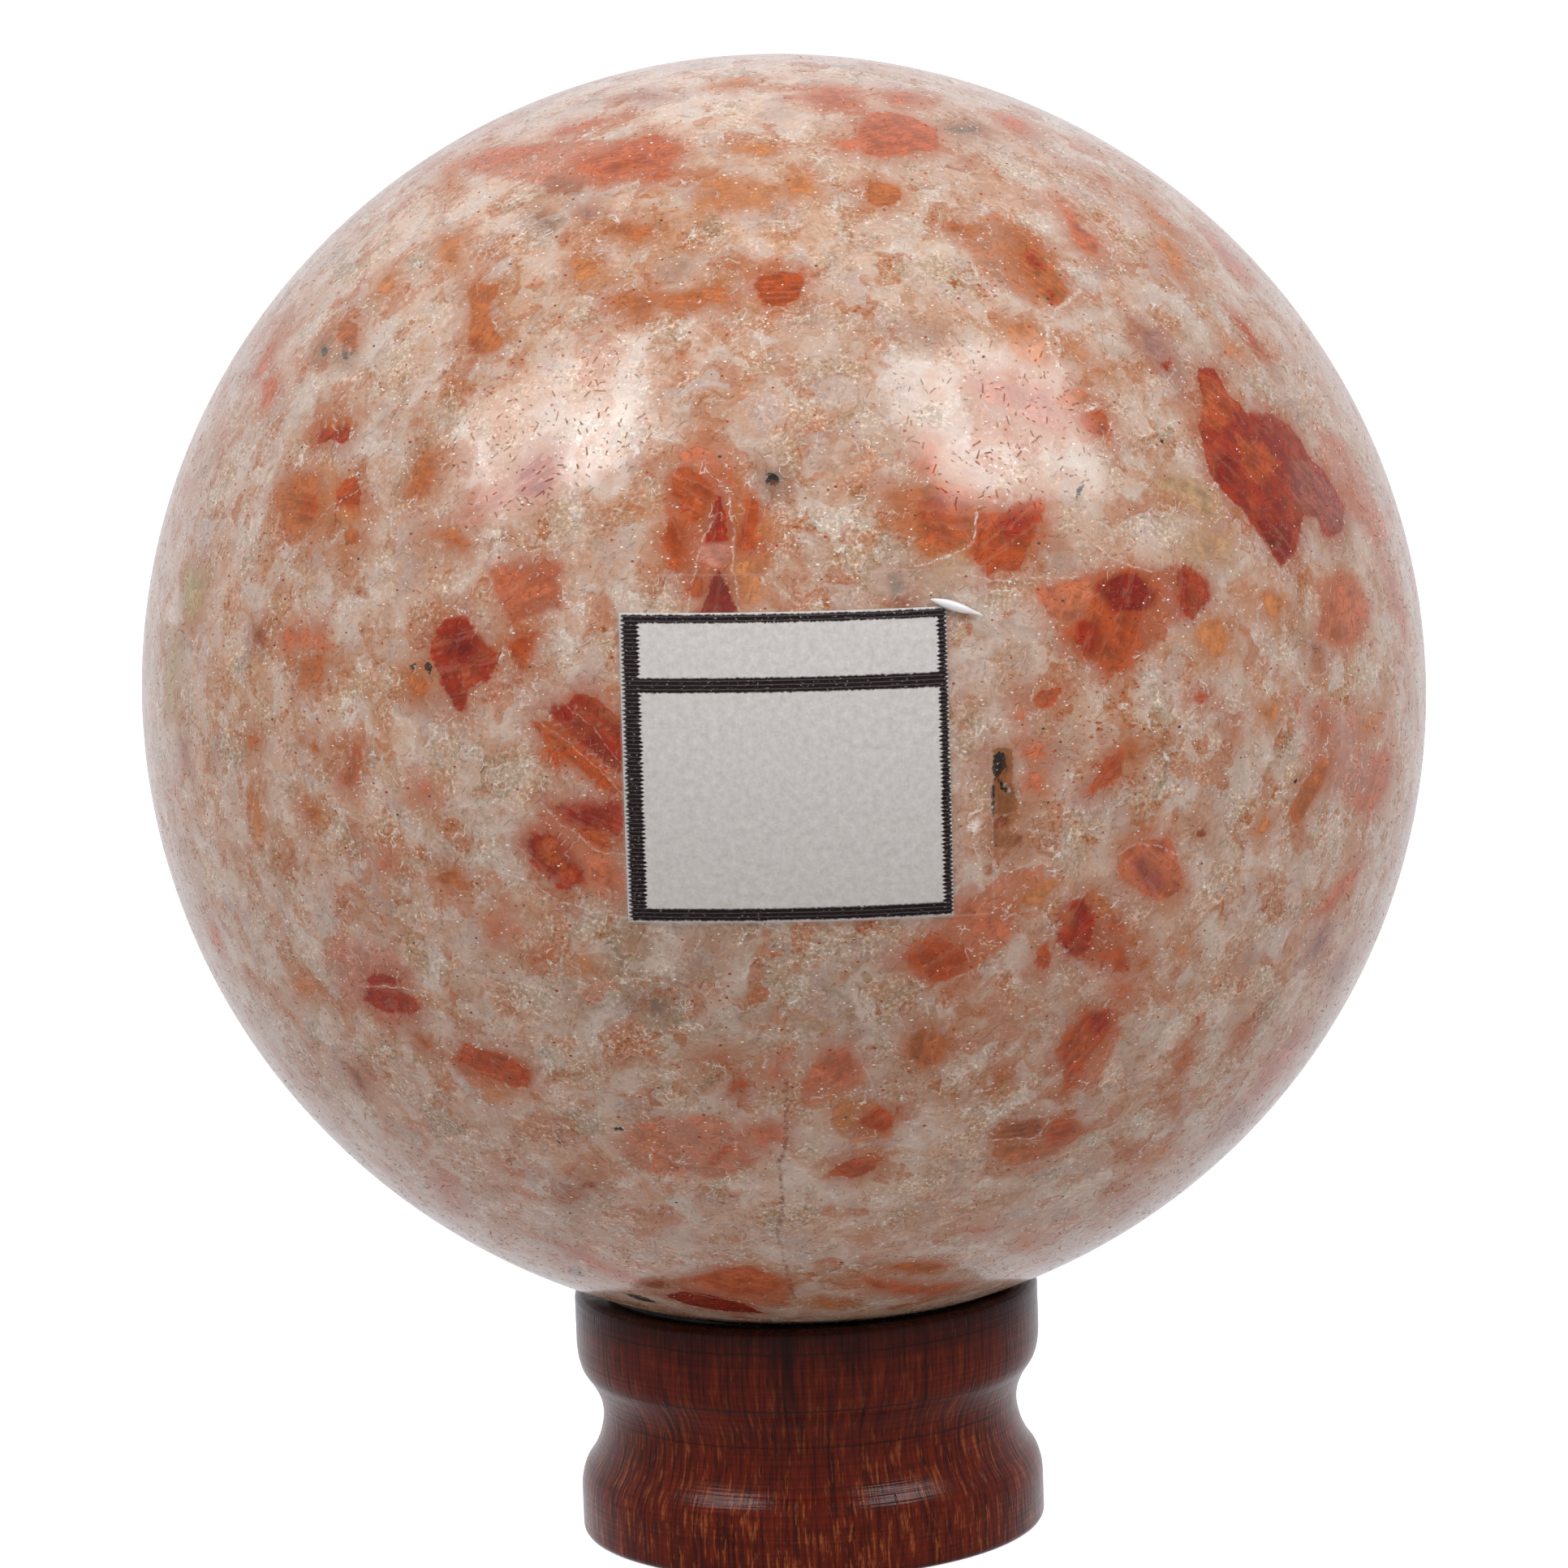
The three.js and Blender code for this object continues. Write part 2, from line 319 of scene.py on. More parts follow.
# Each crystal's outline is drawn round what the photo shows, in the
# photo's pixels. Its grain is the angle of its cleavage lines in degrees, up
# from right, and stripes is how strongly they show.
Crystal = namedtuple("Crystal", "colour edge grain photo_outline stripes", defaults=[0.2])
crystals = [
    # Along the top
    Crystal("salmon", SOFT, 15, "677,168 695,155 775,142 715,162 690,170"),
    Crystal("salmon", SOFT, 15, "570,205 600,185 655,180 665,187 640,196 620,203"),
    Crystal("coral", SOFT, 10, "712,212 715,197 740,190 780,172 810,165 835,175 845,190 825,205 835,220 "
            "800,226 790,213 745,222"),
    Crystal("mauve", SOFT, 0, "765,118 790,112 825,120 800,123"),
    Crystal("apricot", SOFT, 0, "870,108 900,98 930,97 905,110"),
    Crystal("apricot", SOFT, 5, "895,180 950,178 948,192 900,190"),
    Crystal("apricot", HAZY, 0, "865,215 900,222 912,250 862,256"),
    Crystal("salmon", HAZY, 5, "980,118 1020,105 1065,112 1060,138 1010,135"),
    Crystal("coral", CLEAR, 10, "1058,178 1058,152 1075,138 1098,138 1120,143 1155,160 1160,184 1110,192 "
            "1085,195 1065,190"),
    Crystal("salmon", SOFT, 5, "1030,176 1056,168 1058,186 1034,188"),
    Crystal("amber", CLEAR, 0, "1062,230 1075,222 1100,228 1112,236 1110,248 1090,258 1070,250"),
    Crystal("apricot", SOFT, 0, "972,215 1000,212 1002,238 975,238"),
    Crystal("salmon", HAZY, -10, "1090,112 1140,116 1138,130 1094,128"),
    Crystal("salmon", SOFT, -15, "1225,142 1250,145 1275,160 1265,166 1240,158"),
    Crystal("slate", SOFT, -5, "1172,157 1205,156 1204,164 1174,165"),
    # Upper left
    Crystal("slate", CLEAR, -10, "683,226 705,227 707,232 686,232"),
    Crystal("slate", CLEAR, -20, "660,265 683,274 680,279 662,271"),
    Crystal("mauve", SOFT, 0, "712,256 730,253 737,266 718,272"),
    Crystal("amber", SOFT, 0, "738,290 750,275 775,272 805,280 808,290 780,296"),
    Crystal("amber", CRISP, 60, "590,352 615,350 613,365 602,376"),
    Crystal("amber", CLEAR, 75, "573,347 595,350 602,376 606,395 620,420 610,435 590,440 573,430 "
            "580,390"),
    Crystal("amber", SOFT, 10, "745,372 770,358 800,360 803,385 790,393 765,380"),
    Crystal("apricot", SOFT, 0, "705,320 738,318 740,342 708,346"),
    Crystal("amber", SOFT, -10, "830,375 850,358 885,352 905,365 900,380 865,371"),
    Crystal("smoke", SOFT, 0, "828,322 850,320 850,334 830,336"),
    Crystal("amber", SOFT, 0, "895,324 915,322 915,338 897,338"),
    Crystal("rust", CLEAR, 0, "925,352 935,338 960,332 985,335 995,348 985,370 960,378 945,380 935,368"),
    Crystal("apricot", SOFT, 0, "545,205 568,200 566,238 548,240"),
    Crystal("apricot", SOFT, 0, "540,292 570,290 568,330 542,328"),
    Crystal("apricot", CLEAR, 0, "464,360 472,335 484,337 490,352 478,362"),
    Crystal("salmon", SOFT, 60, "338,413 346,420 318,470 306,472"),
    Crystal("amber", CLEAR, 0, "414,398 430,392 443,402 440,428 420,430"),
    Crystal("slate", CRISP, 0, "394,426 404,423 403,438 396,439"),
    Crystal("slate", CRISP, 0, "420,435 435,433 434,442 422,444"),
    Crystal("salmon", CLEAR, 75, "322,466 340,463 343,480 328,503 320,502 327,484"),
    Crystal("amber", CLEAR, 30, "384,530 395,516 412,519 437,510 436,522 405,526"),
    Crystal("brick", CRISP, 60, "390,548 396,527 432,524 433,538 423,547 410,543"),
    Crystal("rust", CRISP, 30, "412,629 417,605 425,592 439,588 446,602 446,620 440,628 425,622"),
    Crystal("apricot", CLEAR, 0, "420,630 448,630 448,645 424,645"),
    Crystal("umber", CRISP, 0, "408,638 415,638 421,645 408,649"),
    Crystal("amber", CRISP, 0, "424,656 432,650 446,660 448,668 424,675"),
    Crystal("amber", HAZY, 0, "338,610 352,585 368,578 385,582 398,605 400,630 392,650 370,662 350,650"),
    Crystal("amber", SOFT, 5, "500,612 500,600 515,565 530,555 540,568 538,590 530,610 510,620"),
    Crystal("olive", HAZY, 80, "228,702 252,700 254,725 246,760 234,770 226,745"),
    Crystal("olive", HAZY, 85, "208,790 222,790 220,880 206,880"),
    Crystal("amber", SOFT, 10, "525,660 535,648 565,655 585,672 575,681 545,670"),
    # Hatched streak under the left highlight
    Crystal("rose", SOFT, 35, "560,642 600,605 622,597 634,600 625,618 585,645", 0.9),
    Crystal("rosy", CLEAR, 33, "637,590 650,570 670,556 684,560 684,590 672,606 645,610 634,604", 1.0),
    Crystal("coral", SOFT, 25, "607,705 625,697 683,703 687,725 680,740 650,746 640,768 630,771 620,745 "
            "625,738 612,725"),
    Crystal("rust", SOFT, 30, "625,790 640,780 665,775 658,800 652,822 640,836 628,818"),
    # Above the label
    Crystal("rust", CLEAR, -30, "825,612 830,575 845,572 870,590 880,600 882,612 872,625 868,640 855,645 "
            "838,628"),
    Crystal("salmon", SOFT, -10, "830,562 855,552 885,558 892,575 870,574 848,571"),
    Crystal("amber", SOFT, 20, "798,572 808,558 822,558 816,572"),
    Crystal("brick", CRISP, 80, "883,608 891,613 895,648 898,668 868,668 873,645"),
    Crystal("rose", CLEAR, 80, "865,670 897,670 899,690 885,697 861,690"),
    Crystal("rust", CRISP, 70, "861,694 868,715 870,738 857,739 847,731 852,712"),
    Crystal("garnet", CRISP, 80, "880,700 893,712 902,731 910,762 861,762 869,734"),
    Crystal("rust", SOFT, -60, "816,672 820,640 835,640 848,655 842,690 846,703 838,711 826,700"),
    Crystal("rust", CLEAR, 80, "918,614 932,610 937,625 935,670 920,680 905,678 908,660 915,640"),
    Crystal("amber", SOFT, 80, "903,636 906,615 918,605 920,622 910,640"),
    Crystal("apricot", SOFT, 80, "905,692 940,690 942,738 920,748 906,738"),
    Crystal("apricot", SOFT, 0, "925,640 945,642 946,660 936,662"),
    Crystal("slate", SOFT, 0, "938,580 962,582 966,604 946,612"),
    # Upper right
    Crystal("amber", SOFT, 0, "1162,272 1180,268 1195,282 1182,292 1165,285"),
    Crystal("amber", CLEAR, -60, "1252,288 1275,300 1300,335 1320,360 1310,378 1290,375 1270,350 "
            "1255,330"),
    Crystal("salmon", CLEAR, -50, "1305,250 1318,262 1355,300 1355,315 1335,310 1320,290"),
    Crystal("smoke", SOFT, 5, "1120,414 1145,410 1165,415 1145,423"),
    Crystal("apricot", CLEAR, -60, "1240,400 1265,395 1300,440 1290,455 1250,440"),
    Crystal("apricot", SOFT, -45, "1310,422 1322,420 1350,448 1338,452"),
    Crystal("apricot", SOFT, -50, "1400,240 1430,262 1460,300 1440,290 1415,268"),
    Crystal("apricot", SOFT, -65, "1425,290 1450,300 1465,345 1455,345 1440,325"),
    Crystal("rose", SOFT, -45, "1475,275 1500,295 1543,345 1530,345 1505,320"),
    Crystal("rust", SOFT, -50, "1515,385 1535,400 1560,440 1545,430 1530,408"),
    Crystal("apricot", SOFT, -45, "1505,412 1532,425 1536,442 1512,436"),
    Crystal("mauve", SOFT, -45, "1400,400 1428,405 1440,440 1425,450 1408,430"),
    Crystal("rose", SOFT, -30, "1195,475 1215,465 1255,472 1290,475 1305,500 1310,525 1295,535 1260,510 "
            "1215,498"),
    Crystal("amber", CRISP, -30, "1300,500 1310,485 1325,479 1338,484 1345,496 1318,501"),
    Crystal("rust", CLEAR, -50, "1325,513 1340,508 1362,505 1370,535 1355,540 1340,530"),
    Crystal("salmon", SOFT, 60, "1130,560 1150,545 1158,570 1145,590 1126,586"),
    Crystal("amber", CLEAR, -10, "1122,606 1145,592 1170,592 1190,600 1200,620 1203,645 1198,668 "
            "1155,686 1143,688 1133,675 1124,645"),
    Crystal("amber", SOFT, 0, "1090,605 1110,600 1120,615 1105,630 1092,622"),
    Crystal("rust", CLEAR, 30, "1203,618 1218,638 1255,618 1280,615 1288,625 1278,655 1258,700 1250,710 "
            "1235,705 1215,712 1200,690 1193,680 1203,665"),
    Crystal("tan", SOFT, 20, "1155,690 1180,680 1195,686 1185,702 1165,706"),
    Crystal("smoke", CLEAR, 0, "1088,705 1115,702 1124,725 1098,745"),
    Crystal("umber", SOFT, 0, "1095,735 1120,728 1122,756 1094,756"),
    Crystal("salmon", CLEAR, 80, "1275,722 1300,718 1340,712 1350,740 1340,760 1312,770 1290,762"),
    Crystal("rust", SOFT, 60, "1345,722 1370,705 1400,700 1425,712 1434,738 1410,760 1408,795 1370,838 "
            "1345,822 1318,795 1316,775 1335,757"),
    Crystal("brick", CLEAR, 70, "1448,712 1460,690 1490,720 1492,740 1468,767 1453,750"),
    Crystal("apricot", CLEAR, 60, "1475,780 1482,764 1505,760 1512,785 1508,808 1495,812"),
    Crystal("umber", CLEAR, 0, "1280,698 1285,684 1292,698"),
    Crystal("smoke", SOFT, 0, "1295,690 1305,675 1313,700 1300,706"),
    Crystal("tan", CLEAR, -25, "1420,600 1440,583 1465,590 1495,610 1500,640 1480,636 1450,610"),
    Crystal("tan", HAZY, -20, "1450,685 1475,655 1520,662 1512,690 1470,700"),
    Crystal("apricot", SOFT, 70, "1553,730 1562,718 1585,735 1580,758 1565,765"),
    Crystal("apricot", SOFT, 0, "1525,735 1535,728 1546,738 1535,748"),
    Crystal("brick", CLEAR, -50, "1474,452 1497,453 1513,487 1530,500 1535,510 1563,508 1587,523 "
            "1604,543 1612,563 1630,578 1645,603 1658,630 1654,657 1643,664 1629,657 1624,640 1606,636 "
            "1603,655 1597,683 1580,698 1560,673 1533,633 1503,602 1487,580 1485,560 1475,527 1483,500 "
            "1475,467", 0.05),
    Crystal("salmon", SOFT, 60, "1620,780 1628,755 1632,738 1648,715 1665,718 1685,750 1665,795 "
            "1635,792"),
    Crystal("umber", CLEAR, 0, "1614,790 1628,795 1622,808 1613,801"),
    Crystal("rose", SOFT, -75, "1705,700 1715,705 1735,780 1728,772 1714,742"),
    Crystal("amber", SOFT, 0, "1652,600 1668,602 1670,616 1656,614"),
    # Left of the label
    Crystal("salmon", HAZY, 0, "346,772 398,770 402,800 350,800"),
    Crystal("amber", HAZY, 0, "362,806 402,808 398,845 368,845"),
    Crystal("umber", SOFT, 85, "312,770 328,772 326,795 314,795"),
    Crystal("brick", CLEAR, 15, "531,800 538,775 548,762 572,756 596,786 618,813 608,825 602,845 590,838 "
            "580,852 574,880 562,876 550,862 538,826"),
    Crystal("amber", SOFT, 80, "500,838 512,830 530,842 526,862 508,862"),
    Crystal("brick", CLEAR, -40, "667,870 686,865 700,866 720,878 740,893 768,918 768,958 745,942 "
            "729,927 697,902 679,884"),
    Crystal("brick", CLEAR, -42, "702,866 706,857 718,853 736,860 750,874 768,885 768,914 745,897 "
            "722,880"),
    Crystal("rust", CLEAR, -40, "652,892 666,882 700,905 768,978 768,986 740,970 696,935 690,950 "
            "672,920"),
    Crystal("brick", SOFT, -25, "672,990 700,985 768,985 768,1038 740,1022 700,1018"),
    Crystal("rust", CLEAR, -25, "700,1020 725,1018 768,1042 768,1052 740,1046"),
    Crystal("brick", SOFT, -35, "640,1040 650,1027 672,1022 688,1030 712,1060 722,1075 718,1090 700,1099 "
            "672,1082 655,1062"),
    Crystal("salmon", SOFT, -25, "722,1052 768,1056 768,1108 738,1100 726,1082"),
    Crystal("amber", CLEAR, 0, "650,1180 672,1175 682,1171 670,1186 654,1189"),
    Crystal("apricot", SOFT, 0, "705,1183 718,1175 738,1190 715,1192"),
    Crystal("salmon", HAZY, 0, "600,1135 625,1118 632,1150 606,1160"),
    Crystal("amber", SOFT, 70, "303,905 318,900 323,910 312,932"),
    Crystal("mauve", SOFT, -70, "222,905 232,920 232,942 224,935"),
    Crystal("amber", CLEAR, -40, "378,915 390,912 400,925 392,935"),
    Crystal("rust", SOFT, 80, "437,918 446,922 441,965 433,975 420,968 418,955 428,938"),
    Crystal("apricot", SOFT, 85, "312,990 322,1000 325,1030 316,1040"),
    Crystal("amber", SOFT, -10, "370,988 392,994 395,1010 382,1014"),
    Crystal("salmon", HAZY, 0, "510,960 532,965 535,985 512,988"),
    Crystal("amber", SOFT, 0, "535,1080 548,1068 565,1072 570,1090 545,1094"),
    Crystal("salmon", SOFT, 0, "466,1060 482,1056 488,1070 472,1073"),
    Crystal("salmon", SOFT, -60, "256,1130 268,1145 272,1170 262,1158"),
    Crystal("apricot", SOFT, 0, "365,1210 378,1205 387,1215 378,1228 366,1225"),
    Crystal("brick", CLEAR, 5, "452,1204 465,1198 482,1200 498,1207 490,1213 450,1213"),
    Crystal("brick", CLEAR, 5, "446,1232 450,1217 492,1217 505,1225 520,1243 512,1250 475,1248"),
    Crystal("rust", SOFT, 5, "470,1256 500,1253 516,1259 490,1262"),
    Crystal("amber", SOFT, -40, "500,1270 515,1268 536,1290 526,1294"),
    Crystal("rust", CLEAR, -12, "560,1305 572,1286 620,1298 652,1318 656,1340 635,1339 600,1326"),
    Crystal("apricot", SOFT, -5, "600,1338 642,1343 630,1356 604,1358"),
    Crystal("umber", SOFT, -60, "430,1315 442,1318 452,1342 440,1340"),
    Crystal("rose", SOFT, -45, "535,1450 552,1450 572,1492 556,1492"),
    # Right of the label
    Crystal("salmon", SOFT, 10, "1255,915 1286,918 1290,934 1258,932"),
    Crystal("salmon", SOFT, 10, "1256,955 1284,955 1284,975 1258,974"),
    Crystal("rust", CLEAR, 20, "1265,862 1290,848 1313,845 1292,872 1276,870"),
    Crystal("salmon", CLEAR, 80, "1253,872 1263,875 1262,894 1255,890"),
    Crystal("rust", CLEAR, 40, "1334,978 1350,955 1362,932 1382,925 1384,955 1362,968 1345,981"),
    Crystal("amber", SOFT, 0, "1382,915 1405,912 1407,935 1390,946"),
    Crystal("apricot", CLEAR, 30, "1250,1110 1298,1078 1311,1090 1282,1116 1262,1121"),
    Crystal("rust", SOFT, 25, "1105,1180 1120,1165 1155,1152 1185,1165 1200,1182 1180,1204 1150,1212 "
            "1138,1200"),
    Crystal("salmon", SOFT, 28, "1176,1118 1195,1106 1230,1125 1248,1142 1230,1155 1196,1147"),
    Crystal("brick", CLEAR, 60, "1300,1150 1310,1140 1322,1128 1320,1112 1336,1105 1348,1130 1346,1168 "
            "1330,1180 1312,1178"),
    Crystal("amber", CLEAR, -50, "1344,1102 1358,1108 1368,1126 1352,1126"),
    Crystal("rust", CLEAR, 70, "1280,1166 1290,1160 1298,1186 1290,1196 1272,1190"),
    Crystal("rust", CLEAR, 80, "1350,1175 1362,1180 1366,1200 1354,1198"),
    Crystal("coral", CLEAR, -40, "1377,1075 1380,1055 1395,1038 1440,1030 1455,1070 1460,1092 1446,1106 "
            "1425,1110 1385,1088"),
    Crystal("umber", CRISP, 0, "1473,1027 1480,1022 1488,1027 1485,1033 1475,1032"),
    Crystal("rust", CLEAR, 0, "1467,862 1476,850 1492,858 1480,868"),
    Crystal("amber", SOFT, 0, "1513,897 1525,890 1527,905 1518,912"),
    Crystal("apricot", SOFT, 0, "1550,866 1574,868 1568,890 1553,886"),
    Crystal("rust", SOFT, 80, "1627,906 1630,882 1637,890 1634,910"),
    Crystal("amber", CLEAR, 50, "1588,1000 1602,970 1620,943 1638,932 1632,965 1620,985 1605,1010 "
            "1594,1016"),
    Crystal("apricot", SOFT, 60, "1676,908 1682,882 1702,880 1696,908"),
    Crystal("salmon", SOFT, 60, "1665,1000 1685,970 1692,935 1706,916 1714,928 1710,970 1690,1000"),
    Crystal("apricot", SOFT, 70, "1545,1026 1560,1000 1567,1016 1556,1033"),
    Crystal("salmon", SOFT, 50, "1618,1130 1645,1095 1660,1070 1682,1064 1668,1086 1642,1124"),
    Crystal("mauve", SOFT, 50, "1608,1184 1622,1150 1641,1132 1642,1146 1620,1186"),
    Crystal("mauve", HAZY, 60, "1636,1216 1645,1190 1662,1168 1660,1190 1644,1218"),
    Crystal("rust", SOFT, 60, "1366,1130 1380,1122 1384,1142 1372,1148"),
    Crystal("amber", CLEAR, 0, "1386,1152 1400,1150 1406,1166 1392,1167"),
    Crystal("rust", SOFT, -60, "1366,1172 1385,1165 1396,1190 1388,1202 1370,1196"),
    Crystal("amber", SOFT, 0, "1398,1180 1415,1180 1414,1196 1400,1198"),
    Crystal("salmon", HAZY, 0, "1366,1206 1394,1205 1396,1234 1370,1236"),
    Crystal("apricot", SOFT, 0, "1450,1165 1460,1158 1466,1175 1452,1178"),
    Crystal("smoke", SOFT, 0, "1525,1186 1540,1172 1551,1182 1538,1196"),
    # Below the label
    Crystal("smoke", SOFT, 0, "845,1180 860,1165 880,1175 886,1190 862,1196"),
    Crystal("slate", SOFT, -40, "796,1223 810,1228 820,1240 812,1248 801,1238"),
    Crystal("amber", SOFT, 0, "868,1306 880,1298 901,1298 896,1310"),
    Crystal("rust", SOFT, 70, "897,1347 900,1335 915,1330 924,1336 918,1352"),
    Crystal("salmon", CLEAR, 30, "990,1332 1005,1310 1022,1294 1048,1291 1055,1318 1040,1338 1012,1334 "
            "998,1345"),
    Crystal("rust", CLEAR, 20, "1055,1386 1062,1373 1088,1362 1101,1380 1093,1397"),
    Crystal("apricot", SOFT, 40, "1020,1357 1046,1350 1056,1378 1036,1390"),
    Crystal("rust", SOFT, 0, "1100,1362 1113,1362 1108,1380"),
    Crystal("rust", CLEAR, 10, "1024,1447 1036,1431 1062,1425 1081,1426 1082,1441 1052,1454"),
    Crystal("amber", CLEAR, 80, "1113,1296 1122,1270 1137,1262 1150,1274 1170,1272 1160,1305 1148,1315 "
            "1120,1306"),
    Crystal("amber", SOFT, 0, "1220,1332 1228,1320 1241,1325 1238,1342"),
    Crystal("umber", CLEAR, 8, "1224,1402 1245,1385 1280,1377 1284,1392 1272,1402"),
    Crystal("rust", SOFT, 10, "1286,1398 1302,1376 1326,1381 1332,1392 1306,1412 1290,1418"),
    Crystal("amber", SOFT, 5, "1224,1410 1280,1407 1302,1416 1288,1429 1246,1436"),
    Crystal("rust", SOFT, 55, "1302,1288 1325,1256 1348,1240 1370,1246 1374,1262 1345,1300 1324,1336 "
            "1313,1346 1308,1330"),
    Crystal("salmon", SOFT, 0, "920,1387 950,1380 968,1388 968,1406 930,1420"),
    Crystal("salmon", SOFT, 0, "944,1330 950,1310 968,1300 968,1338"),
    Crystal("umber", CLEAR, -10, "703,1468 716,1458 732,1455 743,1463 722,1464"),
    Crystal("salmon", SOFT, -20, "690,1534 712,1540 775,1570 792,1581 740,1566"),
    Crystal("umber", SOFT, -8, "788,1583 805,1576 826,1582 818,1590"),
    Crystal("coral", CLEAR, -5, "850,1576 880,1565 920,1559 952,1570 966,1582 940,1599 895,1593"),
    Crystal("garnet", CRISP, -12, "818,1596 836,1591 866,1593 916,1606 942,1618 880,1614 846,1607"),
    Crystal("amber", SOFT, 5, "1088,1562 1120,1555 1152,1552 1166,1560 1140,1568"),
    Crystal("salmon", SOFT, 10, "1060,1572 1190,1582 1150,1596 1075,1590"),
    Crystal("apricot", SOFT, 5, "1006,1604 1028,1602 1034,1609 1012,1611"),
    Crystal("apricot", SOFT, 0, "1056,1524 1070,1518 1078,1525 1066,1530"),
    Crystal("salmon", SOFT, 0, "1198,1516 1210,1508 1218,1516 1206,1522"),
    Crystal("apricot", SOFT, 70, "1254,1540 1258,1522 1270,1520 1270,1538"),
    Crystal("amber", SOFT, 60, "1517,1288 1526,1268 1538,1262 1534,1278"),
    Crystal("rose", SOFT, 50, "1535,1355 1560,1310 1600,1268 1612,1262 1590,1305 1552,1350"),
    Crystal("mauve", HAZY, 40, "1508,1385 1520,1365 1542,1360 1524,1394"),
    Crystal("amber", SOFT, 60, "1442,1322 1456,1294 1470,1288 1474,1302 1452,1330"),
    Crystal("apricot", SOFT, 30, "1404,1432 1420,1417 1441,1412 1436,1428 1414,1440"),
    Crystal("amber", SOFT, 30, "1378,1426 1388,1414 1402,1411 1394,1426"),
    Crystal("amber", SOFT, 60, "1436,1368 1444,1354 1452,1360 1444,1376"),
    Crystal("amber", SOFT, 20, "1368,1472 1380,1460 1396,1458 1386,1474"),
    Crystal("stain", CRISP, 85, "1222,922 1236,918 1247,923 1250,945 1247,960 1254,978 1255,998 "
            "1240,1009 1224,1008"),
    Crystal("stain", CLEAR, 20, "1220,1012 1238,1005 1258,1003 1250,1014 1246,1022 1263,1028 1257,1042 "
            "1240,1048 1223,1044"),
]

# Warmer stone behind and between the crystals
patches = [
    Crystal("salmon", HAZY, -5, "752,1402 790,1380 860,1370 904,1392 896,1425 840,1436 782,1438"),
    Crystal("salmon", SOFT, 10, "563,201 694,171 835,180 830,225 684,237 573,217"),
    Crystal("apricot", HAZY, 20, "865,221 926,211 966,231 946,262 886,262"),
    Crystal("amber", SOFT, -30, "1167,282 1228,262 1298,302 1308,362 1268,382 1207,342"),
    Crystal("amber", HAZY, 10, "735,370 800,352 880,360 920,380 860,390 760,390"),
    Crystal("apricot", HAZY, 70, "338,593 392,569 433,583 453,634 392,665 352,644"),
    Crystal("brick", SOFT, 25, "604,704 644,678 694,694 694,755 624,769"),
    Crystal("rust", SOFT, 60, "815,584 886,560 946,624 956,694 926,745 845,742 821,664"),
    Crystal("amber", SOFT, 15, "1097,604 1147,590 1228,612 1298,640 1278,694 1187,694 1107,660"),
    Crystal("rust", SOFT, 60, "1288,735 1338,700 1449,694 1495,725 1459,765 1389,830 1328,815 1298,775"),
    Crystal("mauve", HAZY, -50, "1398,402 1430,405 1470,450 1472,500 1450,500 1415,450"),
    Crystal("salmon", HAZY, -55, "1610,513 1650,533 1711,644 1701,684 1640,624"),
    Crystal("salmon", SOFT, 80, "1618,716 1660,700 1690,740 1680,795 1640,800"),
    Crystal("salmon", HAZY, -20, "644,1020 670,990 715,978 766,988 770,1097 720,1097 664,1062"),
    Crystal("salmon", SOFT, -35, "655,935 690,855 735,862 768,900 768,985 710,960"),
    Crystal("salmon", CLEAR, 35, "1105,1180 1150,1155 1190,1110 1240,1070 1285,1065 1290,1090 1250,1130 "
            "1240,1165 1190,1200 1140,1215"),
    Crystal("rust", SOFT, 80, "1300,1120 1345,1095 1392,1135 1390,1198 1310,1185"),
    Crystal("salmon", CLEAR, 60, "1310,1265 1340,1242 1378,1245 1380,1275 1350,1340 1310,1348 1304,1310"),
    Crystal("amber", CLEAR, 20, "1220,1400 1250,1380 1320,1370 1338,1393 1300,1425 1250,1435 1225,1425"),
    Crystal("salmon", SOFT, 50, "978,1335 1020,1288 1062,1300 1072,1340 1030,1352 1000,1372"),
    Crystal("apricot", CLEAR, 10, "1022,1360 1070,1352 1102,1375 1100,1402 1050,1408 1025,1395"),
    Crystal("amber", SOFT, 20, "1112,1275 1150,1262 1178,1275 1178,1305 1140,1318 1115,1300"),
    Crystal("salmon", SOFT, 10, "760,1408 810,1370 880,1370 930,1395 936,1428 890,1455 810,1450 "
            "772,1438"),
    Crystal("salmon", CLEAR, -15, "552,1302 580,1288 645,1302 660,1325 640,1345 580,1338"),
    Crystal("rose", HAZY, 70, "1590,845 1690,885 1700,1006 1610,986"),
    Crystal("rose", HAZY, 20, "380,1180 460,1140 520,1200 470,1260"),
    Crystal("salmon", SOFT, 5, "820,1575 900,1562 985,1572 975,1612 860,1606"),
]

